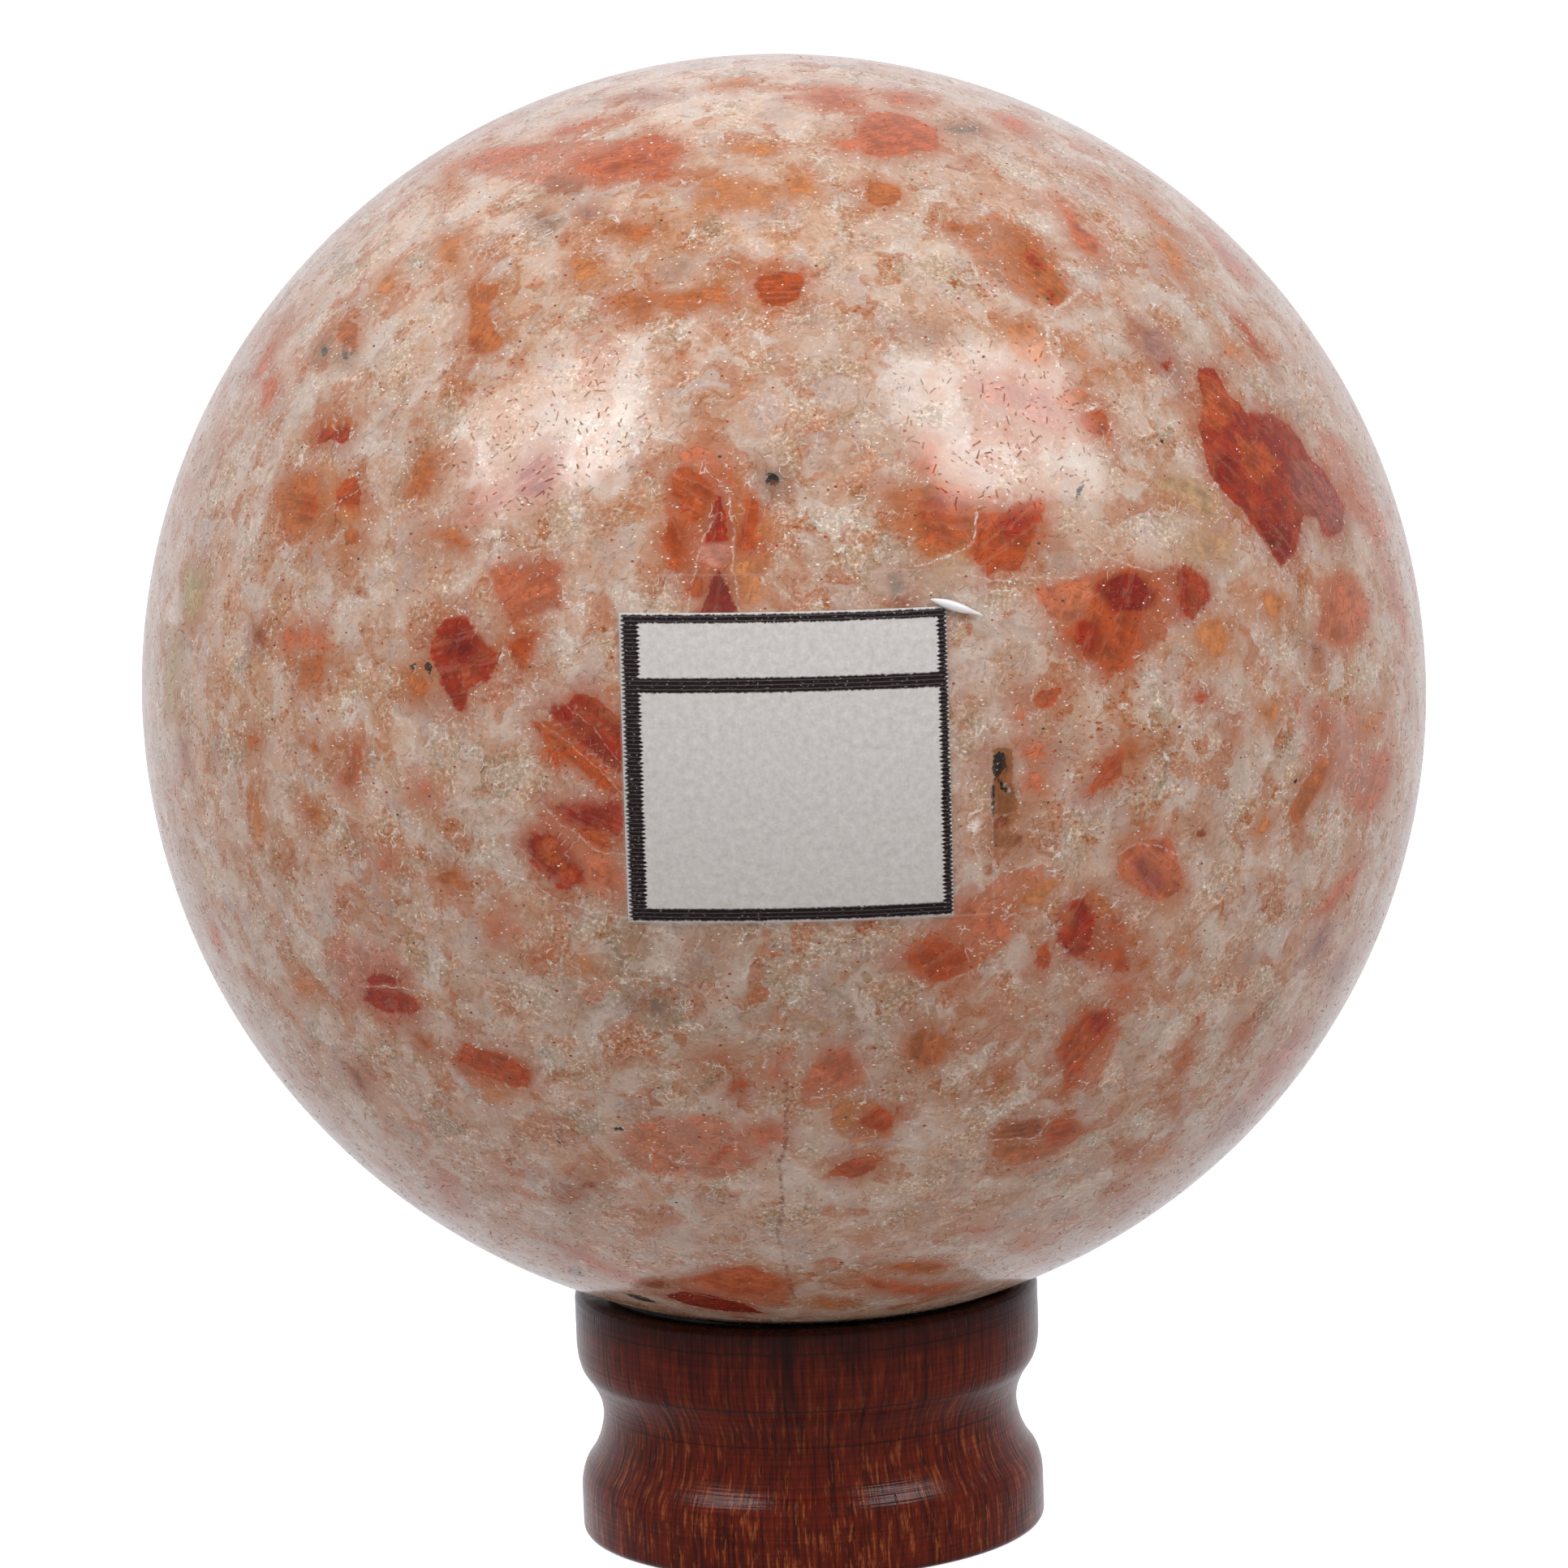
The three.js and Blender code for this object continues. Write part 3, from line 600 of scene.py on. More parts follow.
# What lies on or inside those crystals: darker middles, stains and specks
cores = [
    Crystal("rust", SOFT, 5, "738,212 752,200 800,190 806,196 770,208"),
    Crystal("brick", SOFT, 60, "578,418 592,414 594,434 580,436"),
    Crystal("brick", SOFT, 60, "1260,304 1276,310 1290,334 1280,340 1264,322"),
    Crystal("brick", SOFT, 60, "1290,355 1302,358 1302,375 1290,372"),
    Crystal("rust", SOFT, 0, "368,612 388,606 394,625 384,645 368,640"),
    Crystal("rust", SOFT, 10, "1128,618 1160,600 1196,612 1202,655 1172,678 1138,668"),
    Crystal("brick", SOFT, 30, "1224,652 1240,630 1282,632 1272,662 1242,668"),
    Crystal("garnet", SOFT, 20, "545,780 560,768 590,790 604,812 570,822 545,806"),
    Crystal("garnet", SOFT, 70, "1345,724 1372,706 1402,706 1430,732 1418,752 1372,756"),
    Crystal("brick", SOFT, 60, "1318,790 1332,762 1356,768 1362,800 1340,812"),
    Crystal("garnet", SOFT, 70, "1458,726 1472,722 1478,744 1466,756"),
    Crystal("rust", SOFT, -50, "1478,460 1500,470 1528,505 1505,535 1480,525"),
    Crystal("rust", SOFT, -50, "1520,535 1560,545 1576,570 1560,602 1535,590"),
    Crystal("brick", CLEAR, -30, "1428,446 1440,443 1449,452 1440,459 1430,456"),
    Crystal("garnet", SOFT, -40, "1538,512 1565,510 1582,522 1572,545 1550,540"),
    Crystal("garnet", SOFT, -40, "1490,558 1515,560 1530,572 1522,600 1502,594"),
    Crystal("rosy", SOFT, -60, "1583,560 1612,568 1640,598 1658,630 1652,660 1632,655 1622,640 1600,630 "
            "1588,600"),
    Crystal("garnet", CLEAR, 0, "1548,640 1560,637 1575,640 1590,652 1594,668 1583,690 1577,696 1566,678 "
            "1552,656"),
    Crystal("umber", SOFT, 40, "1640,770 1655,774 1652,792 1638,788"),
    Crystal("garnet", SOFT, -40, "682,876 705,872 744,912 768,945 750,942 715,914", 0.0),
    Crystal("umber", SOFT, -42, "722,864 742,872 768,894 768,906 738,884", 0.0),
    Crystal("garnet", SOFT, -20, "698,1000 715,995 738,1003 752,1020 722,1022 702,1012"),
    Crystal("rust", SOFT, -40, "655,1040 680,1032 700,1052 712,1085 690,1080 665,1058"),
    Crystal("garnet", SOFT, 5, "484,1236 500,1230 514,1244 492,1248"),
    Crystal("rosy", SOFT, -40, "1392,1064 1412,1050 1440,1090 1420,1104"),
    Crystal("brick", SOFT, 55, "1334,1262 1346,1245 1368,1246 1370,1262 1350,1278"),
    Crystal("brick", CLEAR, 60, "1302,1150 1322,1142 1330,1172 1314,1177"),
    Crystal("rust", SOFT, 45, "862,1442 876,1424 900,1408 902,1416 878,1440"),
    Crystal("garnet", CLEAR, -12, "872,1604 910,1604 938,1616 890,1613"),
    Crystal("ink", CRISP, 60, "1221,931 1230,925 1240,930 1242,946 1234,958 1228,962 1227,1008 "
            "1222,1008"),
    Crystal("ink", CRISP, 30, "1230,962 1240,966 1252,978 1246,980 1236,972"),
    Crystal("umber", CRISP, 60, "1222,1012 1234,1002 1246,1010 1242,1022 1226,1022"),
    Crystal("ink", CRISP, 60, "1228,1012 1236,1010 1240,1018 1230,1019"),
    Crystal("umber", CRISP, 0, "1244,1036 1258,1026 1262,1032 1252,1042"),
    Crystal("ink", CRISP, 0, "1222,1038 1228,1036 1228,1045 1222,1045"),
    Crystal("stain", CLEAR, 0, "1208,1068 1222,1062 1228,1072 1218,1082"),
    Crystal("milk", CRISP, 30, "1236,968 1241,966 1250,976 1246,979"),
    Crystal("milk", SOFT, 40, "1190,1020 1202,1008 1214,1004 1210,1014 1196,1028"),
    Crystal("milk", CRISP, 60, "1189,1062 1196,1050 1203,1052 1196,1064"),
    Crystal("ink", CRISP, 0, "941,584 952,582 960,590 955,598 944,596"),
    Crystal("ink", CRISP, 0, "950,600 957,600 957,608 951,607"),
    Crystal("ink", CRISP, 70, "1331,594 1337,597 1330,614 1325,619 1325,606"),
    Crystal("ink", CRISP, -40, "1426,537 1433,539 1436,547 1429,544"),
    Crystal("ink", CRISP, 0, "521,820 530,817 534,830 526,834"),
    Crystal("ink", CRISP, 0, "504,821 512,818 512,825 506,826"),
    Crystal("ink", CRISP, -20, "752,1388 764,1385 770,1392 758,1394"),
    Crystal("ink", CRISP, -50, "684,1404 692,1403 696,1412 688,1411"),
    Crystal("ink", CRISP, -12, "764,1592 790,1596 813,1606 790,1603"),
    Crystal("slate", SOFT, -30, "698,1562 712,1560 722,1572 706,1574"),
    Crystal("slate", SOFT, 0, "662,1292 674,1290 676,1302 664,1302"),
    Crystal("ink", CRISP, 0, "1341,1179 1350,1178 1350,1183 1342,1184"),
    Crystal("ink", CRISP, 0, "1594,963 1600,961 1601,968 1595,969"),
]

# Where no crystal is near, and how far round an outline its edge is worked out
FAR_OUTSIDE = -9.0
EDGE_MARGIN = 1.8


def bare_layer():
    """A layer over the whole stone that holds no crystal yet."""
    return {
        "colour": np.tile(linear(crystal_colours["apricot"]), (len(ways), 1)),
        "inside": np.full(len(ways), FAR_OUTSIDE),
        "edge": np.full(len(ways), SOFT),
        "grain": np.tile([1.0, 0.0, 0.0], (len(ways), 1)),
        "stripes": np.zeros(len(ways)),
    }


def lay_crystal(layer, colour, edge, grain, stripes, middle, outline):
    """Puts one crystal in a layer, from its outline in mm round its middle."""
    right, up = across_and_up(middle)
    reach = np.linalg.norm(outline, axis=1).max() + EDGE_MARGIN
    near = np.nonzero(ways @ middle > math.cos(reach / BALL_RADIUS))[0]
    points = np.stack([ways[near] @ right, ways[near] @ up], axis=1) * BALL_RADIUS
    side = np.roll(outline, -1, axis=0) - outline
    gap = points[:, None] - outline
    along = np.clip(np.sum(gap * side, axis=2) / np.sum(side**2, axis=1), 0, 1)
    distance = np.linalg.norm(gap - along[:, :, None] * side, axis=2).min(axis=1)
    end_height = outline[:, 1] + side[:, 1]
    straddles = (outline[:, 1] > points[:, None, 1]) != (end_height > points[:, None, 1])
    crossing = gap[:, :, 0] * side[:, 1] < gap[:, :, 1] * side[:, 0]
    left_of = np.where(side[:, 1] > 0, crossing, ~crossing)
    within = np.sum(straddles & left_of, axis=1) % 2 == 1
    inside = np.where(within, distance, -distance)
    won = inside > layer["inside"][near]
    chosen = near[won]
    layer["inside"][chosen] = inside[won]
    layer["edge"][chosen] = edge
    layer["colour"][chosen] = linear(crystal_colours[colour])
    layer["grain"][chosen] = math.cos(grain) * right + math.sin(grain) * up
    layer["stripes"][chosen] = stripes


def pixels(outline):
    """The photo's pixels that an outline goes through, from text such as "612,480 620,495"."""
    return [[float(number) for number in pixel.split(",")] for pixel in outline.split()]


def lay_seen(layer, seen):
    """Puts crystals in a layer from outlines drawn over the photo."""
    for crystal in seen:
        corners = np.array([on_stone(x, y) for x, y in pixels(crystal.photo_outline)])
        middle = unit(corners.mean(axis=0))
        right, up = across_and_up(middle)
        outline = np.stack([corners @ right, corners @ up], axis=1) * BALL_RADIUS
        grain = math.radians(crystal.grain)
        lay_crystal(layer, crystal.colour, crystal.edge, grain, crystal.stripes, middle, outline)


patch_layer = bare_layer()
crystal_layer = bare_layer()
core_layer = bare_layer()
lay_seen(patch_layer, patches)
lay_seen(crystal_layer, crystals)
lay_seen(core_layer, cores)

# The rest of the ball has crystals of the same kinds, strewn at random where
# the photo doesn't reach. A large one has a dark core, and lies in a warm patch.
UNSEEN_BELOW = 0.6
UNSEEN_CRYSTALS = 330
LARGE_SHARE = 0.13
LARGE_COLOURS = ["brick", "rust", "rust", "amber"]
PATCH_GROWTH = 1.3
CORE_SHARE = 0.45
CORE_SHIFT = 0.15
UNSEEN_COLOURS = ["brick", "rust", "amber", "apricot", "salmon", "rose", "umber", "smoke", "tan", "mauve"]
UNSEEN_WEIGHTS = [0.13, 0.17, 0.21, 0.15, 0.12, 0.06, 0.06, 0.05, 0.02, 0.03]
random = np.random.default_rng(70)
eye_mm = np.array(camera_place) / MM - middle_mm


def unseen_way():
    """A random direction from the middle, to a place that the photo doesn't show."""
    while True:
        way = unit(random.normal(size=3))
        if eye_mm @ way < BALL_RADIUS * UNSEEN_BELOW:
            return way


for _ in range(UNSEEN_CRYSTALS):
    middle = unseen_way()
    large = random.random() < LARGE_SHARE
    size = random.uniform(1.5, 3.0) if large else random.uniform(0.3, 1.1)
    corner_count = random.integers(5, 9)
    turns = (np.arange(corner_count) + random.uniform(-0.3, 0.3, corner_count)) * 2 * math.pi / corner_count
    lengths = size * random.uniform(0.75, 1.2, corner_count)
    lean = random.uniform(0, math.pi)
    longer = random.uniform(1.1, 1.9)
    outline = np.stack([np.cos(turns) * lengths * longer, np.sin(turns) * lengths * 0.8], axis=1)
    lean_turn = np.array([[math.cos(lean), -math.sin(lean)], [math.sin(lean), math.cos(lean)]])
    outline = outline @ lean_turn.T
    colour = random.choice(LARGE_COLOURS if large else UNSEEN_COLOURS, p=None if large else UNSEEN_WEIGHTS)
    edge = random.choice([CRISP, CLEAR, SOFT, HAZY], p=[0.1, 0.3, 0.5, 0.1])
    stripes = random.uniform(0, 0.4)
    lay_crystal(crystal_layer, colour, edge, lean + random.uniform(-0.4, 0.4), stripes, middle, outline)
    if large:
        core = outline * CORE_SHARE + size * CORE_SHIFT
        lay_crystal(patch_layer, colour, SOFT, lean, stripes, middle, outline * PATCH_GROWTH)
        lay_crystal(core_layer, "garnet", SOFT, lean, stripes, middle, core)

# Soft changes of tone over the milky stone, with their reach in mm
# Most are the stone's own colour. The dawn and cream tones high on the ball also paint in light from above,
# and make its top lighter.
stone_tones = {
    "cream": "#d9bba4",
    "dawn": "#efd2bd",
    "blush": "#d1a28c",
    "peach": "#cf9e7b",
    "pearl": "#ccb4a1",
    "moss": "#a38c74",
    "fawn": "#bd9279",
}
Tone = namedtuple("Tone", "colour reach strength photo_x photo_y")
tones = [
    Tone("dawn", 9, 0.9, 880, 110),
    Tone("blush", 7, 0.8, 1320, 250),
    Tone("dawn", 7, 0.95, 530, 300),
    Tone("cream", 5, 0.8, 490, 345),
    Tone("cream", 7, 0.9, 1080, 280),
    Tone("peach", 5, 0.7, 850, 240),
    Tone("peach", 5, 0.6, 640, 340),
    Tone("peach", 4, 0.7, 660, 480),
    Tone("peach", 4, 0.4, 360, 640),
    Tone("peach", 5, 0.7, 480, 930),
    Tone("peach", 3, 0.6, 790, 640),
    Tone("peach", 4, 0.6, 900, 420),
    Tone("peach", 5, 0.9, 930, 305),
    Tone("fawn", 5, 0.5, 960, 500),
    Tone("pearl", 4, 0.9, 1160, 720),
    Tone("pearl", 4, 0.7, 1480, 420),
    Tone("peach", 5, 0.9, 300, 810),
    Tone("pearl", 4, 0.6, 1560, 960),
    Tone("pearl", 4, 0.8, 590, 1040),
    Tone("moss", 4, 0.8, 800, 1220),
    Tone("moss", 3, 0.6, 730, 1180),
    Tone("moss", 5, 0.6, 1010, 1210),
    Tone("moss", 3, 0.5, 1150, 720),
    Tone("fawn", 6, 0.4, 450, 1180),
    Tone("fawn", 6, 0.6, 1280, 1260),
    Tone("blush", 4, 0.7, 1200, 1090),
    Tone("blush", 5, 0.5, 800, 1480),
    Tone("cream", 5, 0.9, 1050, 1440),
    Tone("blush", 5, 0.6, 600, 1450),
    Tone("fawn", 4, 0.6, 1220, 880),
    Tone("peach", 3, 0.6, 1380, 880),
    Tone("peach", 5, 0.5, 1715, 800),
    Tone("cream", 4, 0.6, 1420, 640),
]
tone = np.tile(linear("#cba68e"), (len(ways), 1))
softened = [(on_stone(soft.photo_x, soft.photo_y), soft.colour, soft.reach, soft.strength) for soft in tones]
UNSEEN_TONES = 30
UNSEEN_STRENGTH = 0.8
softened += [
    (unseen_way(), random.choice(list(stone_tones)), random.uniform(3, 8), UNSEEN_STRENGTH)
    for _ in range(UNSEEN_TONES)
]
for way, colour, reach, strength in softened:
    amount = strength * np.exp(-np.sum((ways - way) ** 2, axis=1) * (BALL_RADIUS / reach) ** 2)
    tone += (np.array(linear(stone_tones[colour])) - tone) * amount[:, None]

# Where orange freckles crowd, and where flakes inside the stone glitter, with
# each crowd's reach in mm
Crowd = namedtuple("Crowd", "reach strength photo_x photo_y")
freckled = [
    Crowd(6, 0.9, 350, 640), Crowd(5, 0.9, 380, 820), Crowd(6, 0.6, 520, 520), Crowd(6, 0.7, 760, 300),
    Crowd(5, 0.8, 640, 470), Crowd(5, 0.7, 1240, 370), Crowd(4, 0.6, 1080, 620), Crowd(5, 0.5, 1270, 830),
    Crowd(5, 0.8, 1350, 900), Crowd(5, 0.5, 420, 1120), Crowd(4, 0.5, 620, 1180),
    Crowd(5, 0.6, 900, 1330), Crowd(5, 0.5, 1120, 1330), Crowd(6, 0.5, 640, 200),
    Crowd(6, 0.5, 1180, 250), Crowd(5, 0.5, 1480, 560), Crowd(5, 0.4, 1330, 1180),
    Crowd(4, 0.6, 1200, 430),
]
glittering = [
    Crowd(0.9, 0.9, 420, 422), Crowd(1.0, 0.8, 924, 450), Crowd(1.2, 0.8, 765, 425),
    Crowd(1.4, 0.6, 812, 168), Crowd(1.4, 0.7, 650, 725), Crowd(1.0, 0.6, 494, 838),
    Crowd(1.0, 0.6, 1445, 357), Crowd(0.9, 0.8, 1225, 388), Crowd(0.7, 0.7, 1392, 623),
    Crowd(0.8, 0.8, 380, 733), Crowd(2.4, 0.4, 1570, 570), Crowd(2.0, 0.5, 1060, 600),
    Crowd(2.0, 0.5, 1000, 680), Crowd(1.5, 0.4, 1540, 672), Crowd(1.0, 0.5, 1465, 905),
    Crowd(1.5, 0.4, 1330, 1160), Crowd(1.6, 0.4, 870, 690), Crowd(1.2, 0.5, 520, 1125),
    Crowd(1.5, 0.4, 520, 1010), Crowd(1.0, 0.5, 1150, 1180),
]
UNSEEN_CROWDS = 25
FRECKLES_ELSEWHERE = 0.2
GLITTER_ELSEWHERE = 0.22


def crowding(crowds, elsewhere):
    """How thick something lies at each point, from the crowds of it."""
    spots = [(on_stone(crowd.photo_x, crowd.photo_y), crowd.reach, crowd.strength) for crowd in crowds]
    for _ in range(UNSEEN_CROWDS):
        like = crowds[random.integers(len(crowds))]
        spots.append((unseen_way(), like.reach, like.strength))
    thick = np.full(len(ways), elsewhere)
    for way, reach, strength in spots:
        amount = strength * np.exp(-np.sum((ways - way) ** 2, axis=1) * (BALL_RADIUS / reach) ** 2)
        thick = np.maximum(thick, amount)
    return thick


freckles = crowding(freckled, FRECKLES_ELSEWHERE)
glitter = crowding(glittering, GLITTER_ELSEWHERE)

# The polish doesn't reach into the natural pit, and fades close round it
PIT_ROUGHNESS = 1.6
PIT_ROUGHNESS_FALL = 1.3
roughened = np.clip(PIT_ROUGHNESS - pit_far * PIT_ROUGHNESS_FALL, 0, 1)

# White boundaries and healed cracks, and one dark seam near the bottom, whose
# whiteness is below zero. Widths are in mm.
Crack = namedtuple("Crack", "whiteness width photo_line")
cracks = [
    Crack(0.5, 0.09, "673,995 690,1014 714,1030 730,1043 742,1050 768,1053"),
    Crack(0.6, 0.12, "578,1062 655,1084 668,1097 690,1108 735,1125 768,1130"),
    Crack(0.5, 0.12, "706,1140 694,1170 690,1200 692,1225 694,1245 704,1268"),
    Crack(0.5, 0.12, "630,1200 640,1235 630,1260 620,1282"),
    Crack(0.5, 0.10, "690,1175 740,1173 790,1176 812,1187"),
    Crack(0.8, 0.22, "1327,362 1300,385 1290,410 1295,435 1307,453"),
    Crack(0.7, 0.11, "1190,708 1240,716 1270,711 1316,711"),
    Crack(0.6, 0.12, "1351,672 1375,690 1410,701"),
    Crack(0.5, 0.10, "980,303 1060,298 1090,308 1132,332"),
    Crack(0.7, 0.10, "860,400 897,427"),
    Crack(0.8, 0.13, "1203,640 1200,668 1190,676 1160,688 1140,694"),
    Crack(0.55, 0.11, "877,640 857,695 848,748"),
    Crack(0.55, 0.12, "900,622 904,660 902,700 912,752"),
    Crack(0.9, 0.09, "448,1215 476,1215 502,1219"),
    Crack(0.45, 0.08, "656,884 700,914 740,948 768,980"),
    Crack(0.4, 0.08, "700,870 730,896 768,944"),
    Crack(0.8, 0.08, "1222,1404 1272,1401"),
    Crack(0.7, 0.08, "1283,1396 1290,1383 1302,1377"),
    Crack(0.5, 0.13, "1388,1046 1405,1037 1450,1050"),
    Crack(0.7, 0.08, "414,529 418,536 414,546"),
    Crack(0.8, 0.08, "410,623 446,602"),
    Crack(0.5, 0.10, "1058,1298 1077,1342"),
    Crack(0.9, 0.09, "846,1591 888,1601 920,1604 944,1612"),
    Crack(0.5, 0.10, "1030,740 985,748 958,722"),
    Crack(-0.85, 0.27, "968,1340 971,1400 960,1440 965,1480 957,1520 966,1550 978,1598"),
]
CRACK_REACH = 1.2
WIDTH_ELSEWHERE = 0.1
crack_side = np.zeros(len(ways))
crack_width = np.full(len(ways), WIDTH_ELSEWHERE)
crack_near = np.zeros(len(ways))
crack_white = np.zeros(len(ways))
for crack in cracks:
    line = np.array([on_stone(x, y) for x, y in pixels(crack.photo_line)]) * BALL_RADIUS
    middle = unit(line.mean(axis=0))
    reach = np.linalg.norm(line - middle * BALL_RADIUS, axis=1).max() + CRACK_REACH
    near = np.nonzero(ways @ middle > math.cos(reach / BALL_RADIUS))[0]
    spot = ways[near] * BALL_RADIUS
    for start, end in zip(line[:-1], line[1:]):
        run = end - start
        along = (spot - start) @ run / (run @ run)
        foot = start + np.outer(np.clip(along, 0, 1), run)
        distance = np.linalg.norm(spot - foot, axis=1)
        left = np.cross(unit(start + end), unit(run))
        closeness = np.clip(1 - distance / CRACK_REACH, 0, 1)
        won = closeness > crack_near[near]
        chosen = near[won]
        crack_near[chosen] = closeness[won]
        crack_side[chosen] = ((spot - foot) @ left)[won]
        crack_width[chosen] = crack.width
        crack_white[chosen] = crack.whiteness

VALUE_NAMES = {"FLOAT_COLOR": "color", "FLOAT_VECTOR": "vector", "FLOAT": "value"}


def keep(name, kind, values):
    """Keeps numbers or colours with the points of the ball's mesh."""
    kept = stone_data.attributes.new(name, kind, "POINT").data
    kept.foreach_set(VALUE_NAMES[kind], np.asarray(values, dtype=np.float32).ravel())


keep("tone", "FLOAT_COLOR", tone)
for name, layer in (("patch", patch_layer), ("crystal", crystal_layer), ("core", core_layer)):
    keep(name + "_colour", "FLOAT_COLOR", layer["colour"])
    shape = np.stack([layer["inside"], layer["edge"], layer["stripes"]], axis=1)
    keep(name + "_shape", "FLOAT_VECTOR", shape)
keep("cleavage", "FLOAT_VECTOR", crystal_layer["grain"])
keep("crowding", "FLOAT_VECTOR", np.stack([freckles, glitter, roughened], axis=1))
keep("crack", "FLOAT_VECTOR", np.stack([crack_side, crack_width, crack_near], axis=1))
keep("crack_whiteness", "FLOAT", crack_white)

# Feldspar ground and polished: hard gloss over milky depth. Its clouds are 1
# to 3 mm across, its cleavage lines 0.4 mm apart, its glints 0.1 mm, and fine
# pits of that size break up its highlights. The real glints and pits are thinner,
# and these are as coarse as they need to be to show.
polished_sunstone, tree = new_material("polished_sunstone")
PER_MM = (1000, 1000, 1000)
where = add(tree, "TexCoord").outputs["Object"]
mm = add(tree, "Mapping", {"Vector": where, "Scale": PER_MM})

# Noise that bends the patterns, and noise that frays the edges
bend = add(tree, "TexNoise", {"Vector": mm, "Scale": 0.5, "Detail": 2.0, "Roughness": 0.6})
bend = add(tree, "VectorMath", {0: bend.outputs["Color"], 1: (0.5, 0.5, 0.5)}, operation="SUBTRACT")
bent = add(tree, "VectorMath", {0: bend, 1: (2.4, 2.4, 2.4), 2: mm}, operation="MULTIPLY_ADD")
wander = add(tree, "TexNoise", {"Vector": mm, "Scale": 1.0, "Detail": 3.0, "Roughness": 0.65})
fine = add(tree, "TexNoise", {"Vector": mm, "Scale": 3.6, "Detail": 3.0, "Roughness": 0.75})
wander_off = add(tree, "Math", {0: wander, 1: 0.5}, operation="SUBTRACT")
fine_off = add(tree, "Math", {0: fine, 1: 0.5}, operation="SUBTRACT")
ragged = add(tree, "Math", {0: fine_off, 1: 0.7, 2: wander_off}, operation="MULTIPLY_ADD")

# Milky body: broad tones, then pale, warm, grey and greenish clouds
body = add(tree, "Attribute", attribute_name="tone")
cloud = add(tree, "TexNoise", {"Vector": bent, "Scale": 0.42, "Detail": 2.5, "Roughness": 0.55})
cloud = add(tree, "SeparateColor", {"Color": cloud.outputs["Color"]}).outputs
for shade, start, full, most, colour in (
    (cloud[0], 0.49, 0.64, 0.55, "#d9c5b7"),
    (cloud[0], 0.49, 0.34, 0.45, "#bd8158"),
    (cloud[1], 0.51, 0.64, 0.45, "#c0a8a0"),
    (cloud[2], 0.52, 0.64, 0.30, "#bfa985"),
):
    share = add(
        tree, "MapRange", {"Value": shade, "From Min": start, "From Max": full, "To Max": most},
        interpolation_type="SMOOTHSTEP",
    )
    body = add(tree, "Mix", {0: share, 6: body, 7: linear(colour)}, data_type="RGBA")

# Grains of slightly other tones. Some are warm, pale or grey, and each of
# these fades to one side, where a cloud ends.
frayed = add(tree, "VectorMath", {0: (0.9, 0.7, 0.8), "Scale": wander_off}, operation="SCALE")
frayed = add(tree, "VectorMath", {0: bent, 1: frayed}, operation="ADD")
large_cells = add(tree, "TexVoronoi", {"Vector": frayed, "Scale": 0.42})
large_grains = add(tree, "SeparateColor", {"Color": large_cells.outputs["Color"]}).outputs
small_cells = add(tree, "TexVoronoi", {"Vector": frayed, "Scale": 1.3})
small_grains = add(tree, "SeparateColor", {"Color": small_cells.outputs["Color"]}).outputs
facet = add(
    tree, "TexNoise",
    {"Vector": small_cells.outputs["Position"], "Scale": 0.5, "Detail": 2.0, "Roughness": 0.6},
)
facet = add(tree, "SeparateColor", {"Color": facet.outputs["Color"]}).outputs
for kind, kind_from, kind_full, shade, start, full, most, colour in (
    (large_grains[1], 0.68, 0.70, cloud[1], 0.46, 0.60, 0.60, "#bf764a"),
    (large_grains[2], 0.70, 0.72, cloud[0], 0.46, 0.60, 0.45, "#dccbbd"),
    (large_grains[2], 0.22, 0.20, cloud[2], 0.46, 0.60, 0.45, "#ab937c"),
    (facet[0], 0.57, 0.61, cloud[2], 0.40, 0.56, 0.50, "#be774d"),
    (facet[1], 0.54, 0.60, cloud[1], 0.60, 0.44, 0.35, "#decfc3"),
    (small_grains[1], 0.90, 0.92, cloud[0], 0.56, 0.44, 0.45, "#b9652f"),
):
    is_kind = add(tree, "MapRange", {"Value": kind, "From Min": kind_from, "From Max": kind_full})
    share = add(
        tree, "MapRange", {"Value": shade, "From Min": start, "From Max": full, "To Max": most},
        interpolation_type="SMOOTHSTEP",
    )
    share = add(tree, "Math", {0: share, 1: is_kind}, operation="MULTIPLY")
    body = add(tree, "Mix", {0: share, 6: body, 7: linear(colour)}, data_type="RGBA")

# Fibres that lie one way, and fine grit. With the grains they make the stone
# lighter or darker, and leave its hue.
fibre_mm = add(
    tree, "Mapping", {"Vector": bent, "Rotation": (0, math.radians(20), 0), "Scale": (0.8, 2.4, 3.4)},
)
fibres = add(tree, "TexNoise", {"Vector": fibre_mm, "Scale": 1.0, "Detail": 4.0, "Roughness": 0.75})
grit = add(tree, "TexNoise", {"Vector": mm, "Scale": 5.0, "Detail": 2.0, "Roughness": 0.7})
busy = add(
    tree, "MapRange", {"Value": cloud[2], "From Min": 0.42, "From Max": 0.60, "To Min": 0.35, "To Max": 1.5},
)
SPARK_FROM = 0.2
lighter = 0.0
for shade, strength, most in (
    (large_grains[0], 1.0, 0.16), (small_grains[0], 1.0, 0.14), (fibres, 1.0, 0.85), (grit, busy, 1.35),
):
    shade = add(tree, "Math", {0: shade, 1: 0.5}, operation="SUBTRACT")
    shade = add(tree, "Math", {0: shade, 1: strength}, operation="MULTIPLY")
    lighter = add(tree, "Math", {0: shade, 1: most, 2: lighter}, operation="MULTIPLY_ADD")
